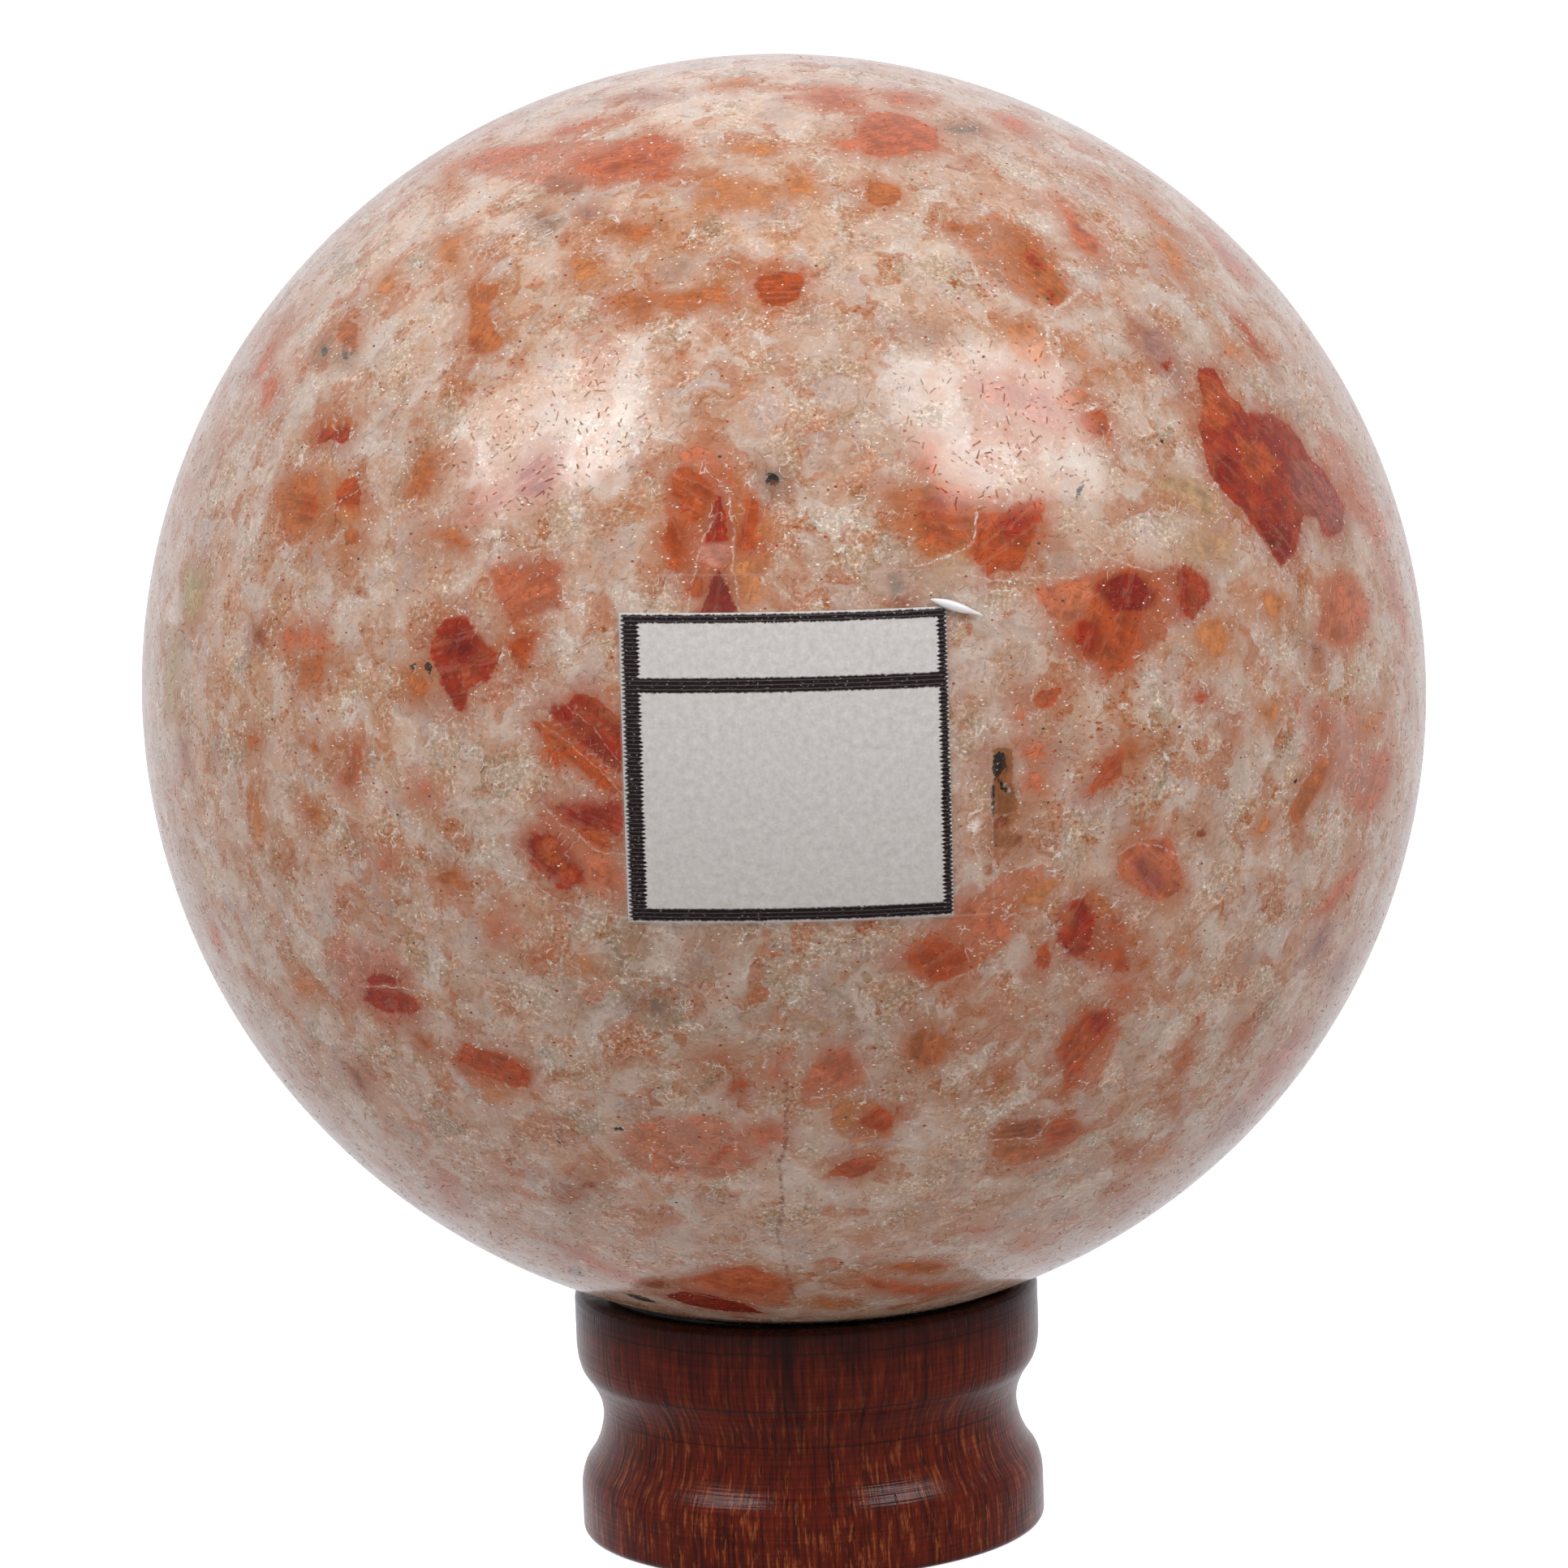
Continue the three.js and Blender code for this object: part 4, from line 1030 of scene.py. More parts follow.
# Most of it is faint, and the lightest of it is painted in as near-white flashes, as glints
dim = add(tree, "Math", {0: lighter, 1: 0.0}, operation="MINIMUM")
sparks = add(tree, "Math", {0: lighter, 1: SPARK_FROM}, operation="SUBTRACT")
sparks = add(tree, "Math", {0: sparks, 1: 0.0}, operation="MAXIMUM")
lighter = add(tree, "Math", {0: lighter, 1: 0.8}, operation="MULTIPLY")
lighter = add(tree, "Math", {0: dim, 1: -0.05, 2: lighter}, operation="MULTIPLY_ADD")
lightened = add(tree, "VectorMath", {0: (0.56, 0.44, 0.37), "Scale": lighter}, operation="SCALE")
body = add(tree, "VectorMath", {0: body, 1: lightened}, operation="ADD")
body = add(tree, "VectorMath", {0: sparks, 1: (0.72, 0.68, 0.62), 2: body}, operation="MULTIPLY_ADD")

# Orange haze, and freckles and short dashes that crowd in it
crowd = add(tree, "Attribute", attribute_name="crowding").outputs["Vector"]
crowd = add(tree, "SeparateXYZ", {0: crowd}).outputs
freckle_mm = add(
    tree, "Mapping", {"Vector": mm, "Rotation": (0, math.radians(-15), 0), "Scale": (2.0, 3.0, 4.0)},
)
freckle = add(tree, "TexNoise", {"Vector": freckle_mm, "Scale": 1.0, "Detail": 2.0, "Roughness": 0.7})
for shade, thinning, most_at, softness, most, colour in (
    (wander, -0.30, 0.72, 0.20, 0.50, "#c37a49"),
    (freckle, -0.19, 0.76, 0.06, 0.85, "#b04c20"),
):
    start = add(tree, "Math", {0: crowd[0], 1: thinning, 2: most_at}, operation="MULTIPLY_ADD")
    full = add(tree, "Math", {0: start, 1: softness}, operation="ADD")
    share = add(
        tree, "MapRange", {"Value": shade, "From Min": start, "From Max": full, "To Max": most},
        interpolation_type="SMOOTHSTEP",
    )
    body = add(tree, "Mix", {0: share, 6: body, 7: linear(colour)}, data_type="RGBA")

# Crystals: streaked along their cleavage, frayed and in places hazy
outward = add(tree, "VectorMath", {0: mm, 1: tuple(middle_mm)}, operation="SUBTRACT")
cleavage = add(tree, "Attribute", attribute_name="cleavage").outputs["Vector"]
run_along = add(tree, "VectorMath", {0: mm, 1: cleavage}, operation="DOT_PRODUCT")
run_short = add(tree, "Math", {0: run_along, 1: -0.86}, operation="MULTIPLY")
squeeze = add(tree, "VectorMath", {0: cleavage, "Scale": run_short}, operation="SCALE")
streak_mm = add(tree, "VectorMath", {0: mm, 1: squeeze}, operation="ADD")
streak = add(tree, "TexNoise", {"Vector": streak_mm, "Scale": 4.5, "Detail": 3.0, "Roughness": 0.7})
across_it = add(tree, "VectorMath", {0: cleavage, 1: outward}, operation="CROSS_PRODUCT")
across_it = add(tree, "VectorMath", {0: across_it}, operation="NORMALIZE")
across_by = add(tree, "VectorMath", {0: mm, 1: across_it}, operation="DOT_PRODUCT")
across_by = add(tree, "Math", {0: ragged, 1: 0.5, 2: across_by}, operation="MULTIPLY_ADD")
STRIPE_SPACING = 0.36
stripe = add(tree, "Math", {0: across_by, 1: 2 * math.pi / STRIPE_SPACING}, operation="MULTIPLY")
stripe = add(tree, "Math", {0: stripe}, operation="SINE")
stripe = add(tree, "MapRange", {"Value": stripe, "From Min": 0.0, "From Max": 0.8})
stripe_gate = add(tree, "MapRange", {"Value": streak, "From Min": 0.42, "From Max": 0.58})
stripe = add(tree, "Math", {0: stripe, 1: stripe_gate}, operation="MULTIPLY")
light_inside = add(
    tree, "MapRange", {"Value": streak, "From Min": 0.32, "From Max": 0.68, "To Min": 0.92, "To Max": 1.08},
)
deep_inside = add(
    tree, "MapRange", {"Value": wander, "From Min": 0.36, "From Max": 0.64, "To Min": 0.74, "To Max": 1.3},
)
mottled = add(
    tree, "MapRange", {"Value": fine, "From Min": 0.36, "From Max": 0.64, "To Min": 0.89, "To Max": 1.11},
)
light_inside = add(tree, "Math", {0: light_inside, 1: deep_inside}, operation="MULTIPLY")
light_inside = add(tree, "Math", {0: light_inside, 1: mottled}, operation="MULTIPLY")
hazy_inside = add(
    tree, "MapRange", {"Value": cloud[1], "From Min": 0.48, "From Max": 0.64, "To Max": 0.5},
    interpolation_type="SMOOTHSTEP",
)
softness = add(
    tree, "MapRange", {"Value": cloud[0], "From Min": 0.36, "From Max": 0.64, "To Min": 0.3, "To Max": 1.7},
)
dashes = add(tree, "MapRange", {"Value": freckle, "From Min": 0.58, "From Max": 0.66, "To Max": 0.35})
for layer_name, most in (("patch", 0.72), ("crystal", 0.97), ("core", 0.97)):
    colour = add(tree, "Attribute", attribute_name=layer_name + "_colour")
    shape = add(tree, "Attribute", attribute_name=layer_name + "_shape").outputs["Vector"]
    shape = add(tree, "SeparateXYZ", {0: shape}).outputs
    give = add(tree, "Math", {0: shape[1], 1: 0.9, 2: 0.6}, operation="MULTIPLY_ADD")
    inside = add(tree, "Math", {0: ragged, 1: give, 2: shape[0]}, operation="MULTIPLY_ADD")
    fade = add(tree, "Math", {0: shape[1], 1: softness}, operation="MULTIPLY")
    share = add(tree, "Math", {0: inside, 1: fade}, operation="DIVIDE")
    share = add(
        tree, "MapRange", {"Value": share, "From Min": -0.5, "From Max": 1.1, "To Max": most},
        interpolation_type="SMOOTHSTEP",
    )
    milky = add(tree, "Mix", {0: 0.5, 6: colour, 7: linear("#b8693b")}, data_type="RGBA")
    dark = add(tree, "VectorMath", {0: colour, "Scale": 0.45}, operation="SCALE")
    pale = add(tree, "Mix", {0: 0.8, 6: colour, 7: linear("#dca588")}, data_type="RGBA")
    striped = add(tree, "Math", {0: stripe, 1: shape[2]}, operation="MULTIPLY")
    colour = add(tree, "Mix", {0: hazy_inside, 6: colour, 7: milky}, data_type="RGBA")
    colour = add(tree, "VectorMath", {0: colour, "Scale": light_inside}, operation="SCALE")
    colour = add(tree, "Mix", {0: dashes, 6: colour, 7: dark}, data_type="RGBA")
    colour = add(tree, "Mix", {0: striped, 6: colour, 7: pale}, data_type="RGBA")
    if layer_name == "crystal":
        # The stone round a crystal is warm from it
        warmth = add(
            tree, "MapRange", {"Value": inside, "From Min": -1.5, "From Max": 0.2, "To Max": 0.6},
            interpolation_type="SMOOTHSTEP",
        )
        body = add(tree, "Mix", {0: warmth, 6: body, 7: milky}, data_type="RGBA")
        bare = add(tree, "MapRange", {"Value": share, "To Min": 1.0, "To Max": 0.15})
    body = add(tree, "Mix", {0: share, 6: body, 7: colour}, data_type="RGBA")

# Short strokes of light on fine cracks, along the edges of the small grains
next_small = add(tree, "TexVoronoi", {"Vector": frayed, "Scale": 1.3}, feature="F2")
small_edge = add(tree, "Math", {0: next_small, 1: small_cells}, operation="SUBTRACT")
stroke = add(tree, "TexNoise", {"Vector": bent, "Scale": 1.6, "Detail": 3.0, "Roughness": 0.72})
gate = add(tree, "MapRange", {"Value": stroke, "From Min": 0.51, "From Max": 0.61, "To Max": 0.5})
line = add(tree, "MapRange", {"Value": small_edge, "From Min": 0.075, "From Max": 0.02})
for share in (gate, bare, busy):
    line = add(tree, "Math", {0: line, 1: share}, operation="MULTIPLY", use_clamp=True)
body = add(tree, "Mix", {0: line, 6: body, 7: linear("#f8f0e8")}, data_type="RGBA")

# The cracks that are listed one by one
crack = add(tree, "Attribute", attribute_name="crack").outputs["Vector"]
crack = add(tree, "SeparateXYZ", {0: crack}).outputs
crack_off = add(tree, "Math", {0: ragged, 1: 0.5, 2: crack[0]}, operation="MULTIPLY_ADD")
crack_off = add(tree, "Math", {0: crack_off}, operation="ABSOLUTE")
crack_share = add(tree, "Math", {0: crack_off, 1: crack[1]}, operation="DIVIDE")
crack_line = add(tree, "MapRange", {"Value": crack_share, "From Min": 0.65, "From Max": 0.2})
crack_near = add(tree, "MapRange", {"Value": crack[2], "From Min": 0.5, "From Max": 0.62})
crack_break = add(
    tree, "MapRange", {"Value": fine, "From Min": 0.42, "From Max": 0.60, "To Min": 0.05},
)
crack_line = add(tree, "Math", {0: crack_line, 1: crack_near}, operation="MULTIPLY")
crack_line = add(tree, "Math", {0: crack_line, 1: crack_break}, operation="MULTIPLY")
whiteness = add(tree, "Attribute", attribute_name="crack_whiteness").outputs["Fac"]
darkness = add(tree, "Math", {0: whiteness, 1: -1.0}, operation="MULTIPLY")
for strength, colour in ((whiteness, "#ecddd0"), (darkness, "#865440")):
    share = add(tree, "Math", {0: crack_line, 1: strength}, operation="MULTIPLY", use_clamp=True)
    body = add(tree, "Mix", {0: share, 6: body, 7: linear(colour)}, data_type="RGBA")

# Red-brown pinpoints with a few dark ones, and painted glints: white or gold
# spots that stand in for flashing flakes. Each is a spot in a cell, and is there in a share of the cells.
glint_share = add(tree, "Math", {0: crowd[1], 1: bare}, operation="MULTIPLY")
point_share = add(tree, "Math", {0: crowd[0], 1: 0.5, 2: 0.04}, operation="MULTIPLY_ADD")
for size, lean, share_there, small, large, odd_from, colour, odd_colour in (
    ((2.4, 2.4, 3.4), 20, point_share, 0.10, 0.30, 0.86, "#a83f1a", "#4b4038"),
    ((3.0, 3.4, 6.5), -35, glint_share, 0.10, 0.32, 0.75, "#fffaf3", "#f4c987"),
    ((4.2, 4.6, 5.6), 50, glint_share, 0.08, 0.30, 0.80, "#fffaf3", "#f4c987"),
):
    cell_mm = add(
        tree, "Mapping", {"Vector": mm, "Rotation": (0, math.radians(lean), 0), "Scale": size},
    )
    cells = add(tree, "TexVoronoi", {"Vector": cell_mm, "Scale": 1.0})
    kind = add(tree, "SeparateColor", {"Color": cells.outputs["Color"]}).outputs
    is_there = add(tree, "Math", {0: kind[0], 1: share_there}, operation="LESS_THAN")
    reach = add(tree, "Math", {0: kind[2], 1: 2.0}, operation="POWER")
    reach = add(tree, "MapRange", {"Value": reach, "To Min": small, "To Max": large})
    within = add(tree, "Math", {0: reach, 1: cells}, operation="SUBTRACT")
    within = add(tree, "MapRange", {"Value": within, "From Min": 0.0, "From Max": 0.08, "To Max": 0.95})
    within = add(tree, "Math", {0: within, 1: is_there}, operation="MULTIPLY")
    is_odd = add(tree, "Math", {0: kind[1], 1: odd_from}, operation="GREATER_THAN")
    colour = add(tree, "Mix", {0: is_odd, 6: linear(colour), 7: linear(odd_colour)}, data_type="RGBA")
    body = add(tree, "Mix", {0: within, 6: body, 7: colour}, data_type="RGBA")

# Pits in the polish: in some cells of a rubbed patch, one thin short scratch
# that lies in any direction along the surface. Its walls lean inwards, most at
# its rims.
PIT_HALF_WIDTH = 0.05
PIT_HALF_LENGTHS = (0.06, 0.36)
PIT_STEEPNESS = -30.0
rubbed = add(tree, "MapRange", {"Value": wander, "From Min": 0.44, "From Max": 0.60, "To Max": 0.85})
cells = add(tree, "TexVoronoi", {"Vector": mm, "Scale": 1.9})
kind = add(tree, "SeparateColor", {"Color": cells.outputs["Color"]}).outputs
spin = add(tree, "VectorMath", {0: cells.outputs["Color"], 1: (0.5, 0.5, 0.5)}, operation="SUBTRACT")
lie = add(tree, "VectorMath", {0: outward, 1: spin}, operation="CROSS_PRODUCT")
lie = add(tree, "VectorMath", {0: lie}, operation="NORMALIZE")
beside = add(tree, "VectorMath", {0: outward, 1: lie}, operation="CROSS_PRODUCT")
beside = add(tree, "VectorMath", {0: beside}, operation="NORMALIZE")
from_middle = add(tree, "VectorMath", {0: mm, 1: cells.outputs["Position"]}, operation="SUBTRACT")
reach = add(
    tree, "MapRange", {"Value": kind[2], "To Min": PIT_HALF_LENGTHS[0], "To Max": PIT_HALF_LENGTHS[1]},
)
pits = add(tree, "Math", {0: kind[0], 1: rubbed}, operation="LESS_THAN")
along_pit = add(tree, "VectorMath", {0: from_middle, 1: lie}, operation="DOT_PRODUCT")
across_pit = add(tree, "VectorMath", {0: from_middle, 1: beside}, operation="DOT_PRODUCT")
for off, limit in ((along_pit, reach), (across_pit, PIT_HALF_WIDTH)):
    off = add(tree, "Math", {0: off}, operation="ABSOLUTE")
    off = add(tree, "Math", {0: limit, 1: off}, operation="SUBTRACT")
    off = add(tree, "MapRange", {"Value": off, "From Min": 0.0, "From Max": 0.02})
    pits = add(tree, "Math", {0: pits, 1: off}, operation="MULTIPLY")
# The pits are painted a little darker, as shade in them
pit_shade = add(tree, "MapRange", {"Value": pits, "To Min": 1.0, "To Max": 0.84})
body = add(tree, "VectorMath", {0: body, "Scale": pit_shade}, operation="SCALE")
slope = add(tree, "Math", {0: across_pit, 1: PIT_STEEPNESS}, operation="MULTIPLY")
slope = add(tree, "Math", {0: slope, 1: pits}, operation="MULTIPLY")
polish = add(tree, "VectorMath", {0: beside, "Scale": slope}, operation="SCALE")
upright = add(tree, "NewGeometry").outputs["Normal"]
polish = add(tree, "VectorMath", {0: polish, 1: upright}, operation="ADD")
polish = add(tree, "VectorMath", {0: polish}, operation="NORMALIZE")
dull = add(tree, "Math", {0: crowd[2], 1: pits}, operation="MAXIMUM")
rough = add(tree, "MapRange", {"Value": dull, "To Min": 0.14, "To Max": 0.95})
stone_shader = add(
    tree,
    "BsdfPrincipled",
    {"Base Color": body, "Roughness": rough, "IOR": 1.53, "Normal": polish},
)
add(tree, "OutputMaterial", {"Surface": stone_shader})
stone_data.materials.append(polished_sunstone)
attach(stone, "root")
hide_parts("sunstone_sphere")


# Wooden stand
# One piece of hardwood turned on a lathe with its grain upright: two bands
# with a hollow waist between them, stained dark red-brown and varnished. The
# ball rests on the edge of its dished top.
_, stand_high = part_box("wood_stand")
STAND_HEIGHT = stand_high.z / MM
BAND_RADIUS = stand_high.x / MM
TOP_BAND_HEIGHT = 3.1
LOWER_BAND_BELOW = 11.3
EDGE_ROUNDING = 0.45
EDGE_STEPS = 5
WAIST_STEPS = 5
STAND_TURNS = 160

# The waist's hollow, as radius and depth below the rim, going up
WAIST_OUTLINE = [
    (BAND_RADIUS, LOWER_BAND_BELOW),
    (12.83, 10.7),
    (12.6, 9.95),
    (12.11, 9.2),
    (11.73, 8.3),
    (11.53, 7.2),
    (11.65, 6.2),
    (12.05, 5.3),
    (12.58, 4.5),
    (12.8, 3.8),
    (BAND_RADIUS, TOP_BAND_HEIGHT),
]
SEAT_OUTLINE = [(11.35, 0), (10.15, 1.4), (7.35, 2.6), (0, 3.0)]


def rounded(radius, depth, start, end):
    """A corner rounded by a quarter circle, between two angles in degrees."""
    turns = np.radians(np.linspace(start, end, EDGE_STEPS))
    return [(radius + EDGE_ROUNDING * math.cos(t), depth - EDGE_ROUNDING * math.sin(t)) for t in turns]


def smooth(points, steps):
    """Points on a smooth curve through the given ones."""
    ends = np.array([points[0], *points, points[-1]])
    curve = []
    for before, start, end, after in zip(ends, ends[1:], ends[2:], ends[3:]):
        for t in np.linspace(0, 1, steps, endpoint=False):
            bend = 2 * before - 5 * start + 4 * end - after
            twist = 3 * (start - end) + after - before
            curve.append(tuple(start + 0.5 * t * (end - before + t * (bend + t * twist))))
    return curve


bevel = BAND_RADIUS - EDGE_ROUNDING
stand_outline = [(0, STAND_HEIGHT)]
stand_outline += rounded(bevel, STAND_HEIGHT - EDGE_ROUNDING, -90, 0)
stand_outline += smooth(WAIST_OUTLINE, WAIST_STEPS)
stand_outline += [(BAND_RADIUS, TOP_BAND_HEIGHT)]
stand_outline += rounded(bevel, EDGE_ROUNDING, 0, 90)
stand_outline += SEAT_OUTLINE
stand_data = bpy.data.meshes.new("turned_stand")
stand_data.from_pydata(
    [((r - BAND_RADIUS) * MM, (below - STAND_HEIGHT) * MM, 0) for r, below in reversed(stand_outline)],
    [(i, i + 1) for i in range(len(stand_outline) - 1)],
    [],
)
outline_piece = bpy.data.objects.new("stand_outline", stand_data)
bpy.context.scene.collection.objects.link(outline_piece)

# The outline is carried round a circle, as the lathe turns it
lathe = bpy.data.node_groups.new("lathe", "GeometryNodeTree")
lathe.interface.new_socket("Geometry", in_out="INPUT", socket_type="NodeSocketGeometry")
lathe_inputs = {
    "Radius": ("NodeSocketFloat", BAND_RADIUS * MM),
    "Turns": ("NodeSocketInt", STAND_TURNS),
    "Merge distance": ("NodeSocketFloat", 0.001 * MM),
    "Material": ("NodeSocketMaterial", None),
}
lathe_sockets = {}
for name, (kind, value) in lathe_inputs.items():
    lathe_sockets[name] = lathe.interface.new_socket(name, in_out="INPUT", socket_type=kind).identifier
lathe.interface.new_socket("Geometry", in_out="OUTPUT", socket_type="NodeSocketGeometry")
given = lathe.nodes.new("NodeGroupInput").outputs
circle = add(
    lathe, "GeometryNodeCurvePrimitiveCircle", {"Resolution": given["Turns"], "Radius": given["Radius"]},
)
section = add(lathe, "GeometryNodeMeshToCurve", {"Mesh": given["Geometry"]})
turned = add(lathe, "GeometryNodeCurveToMesh", {"Curve": circle, "Profile Curve": section})
closed = add(
    lathe, "GeometryNodeMergeByDistance", {"Geometry": turned, "Distance": given["Merge distance"]},
)
real = add(lathe, "GeometryNodeRealizeInstances", {"Geometry": closed})
stained = add(lathe, "GeometryNodeSetMaterial", {"Geometry": real, "Material": given["Material"]})
add(lathe, "NodeGroupOutput", {0: stained})

# Stained hardwood: fine upright grain, short orange flecks where the stain
# wore thin, and a satin varnish over the marks of the turning tool.
varnished_wood, tree = new_material("varnished_wood")
where = add(tree, "TexCoord").outputs["Object"]
mm = add(tree, "Mapping", {"Vector": where, "Scale": PER_MM})
flat = add(tree, "VectorMath", {0: mm, 1: (1, 1, 0)}, operation="MULTIPLY")
flat = add(tree, "VectorMath", {0: flat}, operation="NORMALIZE")
upright = add(tree, "VectorMath", {0: mm, 1: (0, 0, 1)}, operation="MULTIPLY")
unrolled = add(
    tree, "VectorMath", {0: flat, 1: (BAND_RADIUS, BAND_RADIUS, 0), 2: upright}, operation="MULTIPLY_ADD",
)
fibre_mm = add(tree, "Mapping", {"Vector": unrolled, "Scale": (4.5, 4.5, 0.28)})
fibres = add(tree, "TexNoise", {"Vector": fibre_mm, "Scale": 1.0, "Detail": 3.0, "Roughness": 0.6})
fibre_part = add(tree, "MapRange", {"Value": fibres, "From Min": 0.32, "From Max": 0.68})
wood_colour = add(
    tree, "Mix", {0: fibre_part, 6: linear("#3f0c05"), 7: linear("#7e270e")}, data_type="RGBA",
)

# Darker bands in the grain
band_mm = add(tree, "Mapping", {"Vector": unrolled, "Scale": (1.4, 1.4, 0.10)})
bands = add(tree, "TexNoise", {"Vector": band_mm, "Scale": 1.0, "Detail": 3.0, "Roughness": 0.6})
band_part = add(
    tree, "MapRange",
    {"Value": bands, "From Min": 0.42, "From Max": 0.30, "To Max": 0.6},
    interpolation_type="SMOOTHSTEP",
)
wood_colour = add(tree, "Mix", {0: band_part, 6: wood_colour, 7: linear("#2a0d09")}, data_type="RGBA")

# Flecks where the stain wore thin, most of them low on the stand
height_mm = add(tree, "SeparateXYZ", {0: mm}).outputs["Z"]
worn = add(
    tree, "MapRange",
    {"Value": height_mm, "From Min": 11.0, "From Max": 4.0, "To Min": 0.22, "To Max": 0.9},
)
fleck_mm = add(tree, "Mapping", {"Vector": unrolled, "Scale": (3.6, 3.6, 0.55)})
flecks = add(tree, "TexNoise", {"Vector": fleck_mm, "Scale": 1.0, "Detail": 3.0, "Roughness": 0.7})
fleck_part = add(tree, "MapRange", {"Value": flecks, "From Min": 0.54, "From Max": 0.66})
fleck_part = add(tree, "Math", {0: fleck_part, 1: worn}, operation="MULTIPLY")
wood_colour = add(tree, "Mix", {0: fleck_part, 6: wood_colour, 7: linear("#ad5a2c")}, data_type="RGBA")

# Dark pores, in a share of the cells
pore_mm = add(tree, "Mapping", {"Vector": unrolled, "Scale": (2.6, 2.6, 0.55)})
pores = add(tree, "TexVoronoi", {"Vector": pore_mm, "Scale": 1.0})
pore_kind = add(tree, "SeparateColor", {"Color": pores.outputs["Color"]})
is_pore = add(tree, "Math", {0: pore_kind.outputs[2], 1: 0.3}, operation="LESS_THAN")
pore_part = add(tree, "MapRange", {"Value": pores, "From Min": 0.2, "From Max": 0.08, "To Max": 0.85})
pore_part = add(tree, "Math", {0: pore_part, 1: is_pore}, operation="MULTIPLY")
wood_colour = add(tree, "Mix", {0: pore_part, 6: wood_colour, 7: linear("#1c0806")}, data_type="RGBA")

# Thin dark lines that the turning tool left, in mm below the rim
line_wobble = add(tree, "Math", {0: bands, 1: 0.25}, operation="MULTIPLY")
for line_below in (1.25, 4.5, 6.75):
    gap = add(tree, "Math", {0: height_mm, 1: STAND_HEIGHT - line_below - 0.12}, operation="SUBTRACT")
    gap = add(tree, "Math", {0: gap, 1: line_wobble}, operation="SUBTRACT")
    gap = add(tree, "Math", {0: gap}, operation="ABSOLUTE")
    line_part = add(tree, "MapRange", {"Value": gap, "From Min": 0.10, "From Max": 0.03, "To Max": 0.55})
    wood_colour = add(tree, "Mix", {0: line_part, 6: wood_colour, 7: linear("#230a07")}, data_type="RGBA")

# Faint rings all the way down, lighter and darker
ring_mm = add(tree, "Mapping", {"Vector": mm, "Scale": (0.12, 0.12, 6.0)})
rings = add(tree, "TexNoise", {"Vector": ring_mm, "Scale": 1.0, "Detail": 2.0})
ring_shade = add(
    tree, "MapRange", {"Value": rings, "From Min": 0.35, "From Max": 0.65, "To Min": 0.8, "To Max": 1.15},
)
wood_colour = add(tree, "VectorMath", {0: wood_colour, "Scale": ring_shade}, operation="SCALE")

# Painted shadow under the rim, where the ball shades the wood, and one dark streak of the grain in front
across_mm = add(tree, "SeparateXYZ", {0: mm}).outputs
streak_off = add(tree, "Math", {0: bands, 1: 2.0, 2: across_mm[0]}, operation="MULTIPLY_ADD")
streak_off = add(tree, "Math", {0: streak_off, 1: 0.1}, operation="ADD")
streak_off = add(tree, "Math", {0: streak_off}, operation="ABSOLUTE")
dark_streak = add(
    tree, "MapRange", {"Value": streak_off, "From Min": 0.7, "From Max": 0.2, "To Max": 0.7},
)
in_front = add(tree, "Math", {0: across_mm[1], 1: 0.0}, operation="LESS_THAN")
upper_part = add(tree, "MapRange", {"Value": height_mm, "From Min": 7.0, "From Max": 11.0})
dark_streak = add(tree, "Math", {0: dark_streak, 1: in_front}, operation="MULTIPLY")
dark_streak = add(tree, "Math", {0: dark_streak, 1: upper_part}, operation="MULTIPLY")
painted_rim_shadow = add(
    tree, "MapRange",
    {"Value": height_mm, "From Min": STAND_HEIGHT - 2.2, "From Max": STAND_HEIGHT - 0.2, "To Max": 0.8},
)
for share in (dark_streak, painted_rim_shadow):
    wood_colour = add(tree, "Mix", {0: share, 6: wood_colour, 7: linear("#220805")}, data_type="RGBA")
relief = add(tree, "Math", {0: fibres, 1: 0.8, 2: rings}, operation="MULTIPLY_ADD")
relief = add(tree, "Math", {0: pore_part, 1: -1.2, 2: relief}, operation="MULTIPLY_ADD")
varnish = add(tree, "Bump", {"Height": relief, "Strength": 0.5, "Distance": 0.00006})
wood_shader = add(
    tree,
    "BsdfPrincipled",
    {
        "Base Color": wood_colour, "Roughness": 0.19, "IOR": 1.45,
        "Specular IOR Level": 0.28, "Normal": varnish,
    },
)
add(tree, "OutputMaterial", {"Surface": wood_shader})

turning = outline_piece.modifiers.new("lathe", "NODES")
turning.node_group = lathe
for name, (kind, value) in lathe_inputs.items():
    turning[lathe_sockets[name]] = varnished_wood if kind == "NodeSocketMaterial" else value
depsgraph = bpy.context.evaluated_depsgraph_get()
turned_data = bpy.data.meshes.new_from_object(outline_piece.evaluated_get(depsgraph), depsgraph=depsgraph)
bpy.data.objects.remove(outline_piece)
turned_data.name = "turned_stand"
turned_data.shade_smooth()
stand = bpy.data.objects.new("turned_stand", turned_data)
bpy.context.scene.collection.objects.link(stand)
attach(stand, "root")
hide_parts("wood_stand")


# Paper label
# A rectangle of plain white office paper, printed with a dark frame and one
# rule across, cut out by hand just outside the frame. It is bent round the
# front of the ball, and its two fields are bare.
Sheet = namedtuple("Sheet", "width height across up turn gap thickness")
SHEET_STEPS = 64


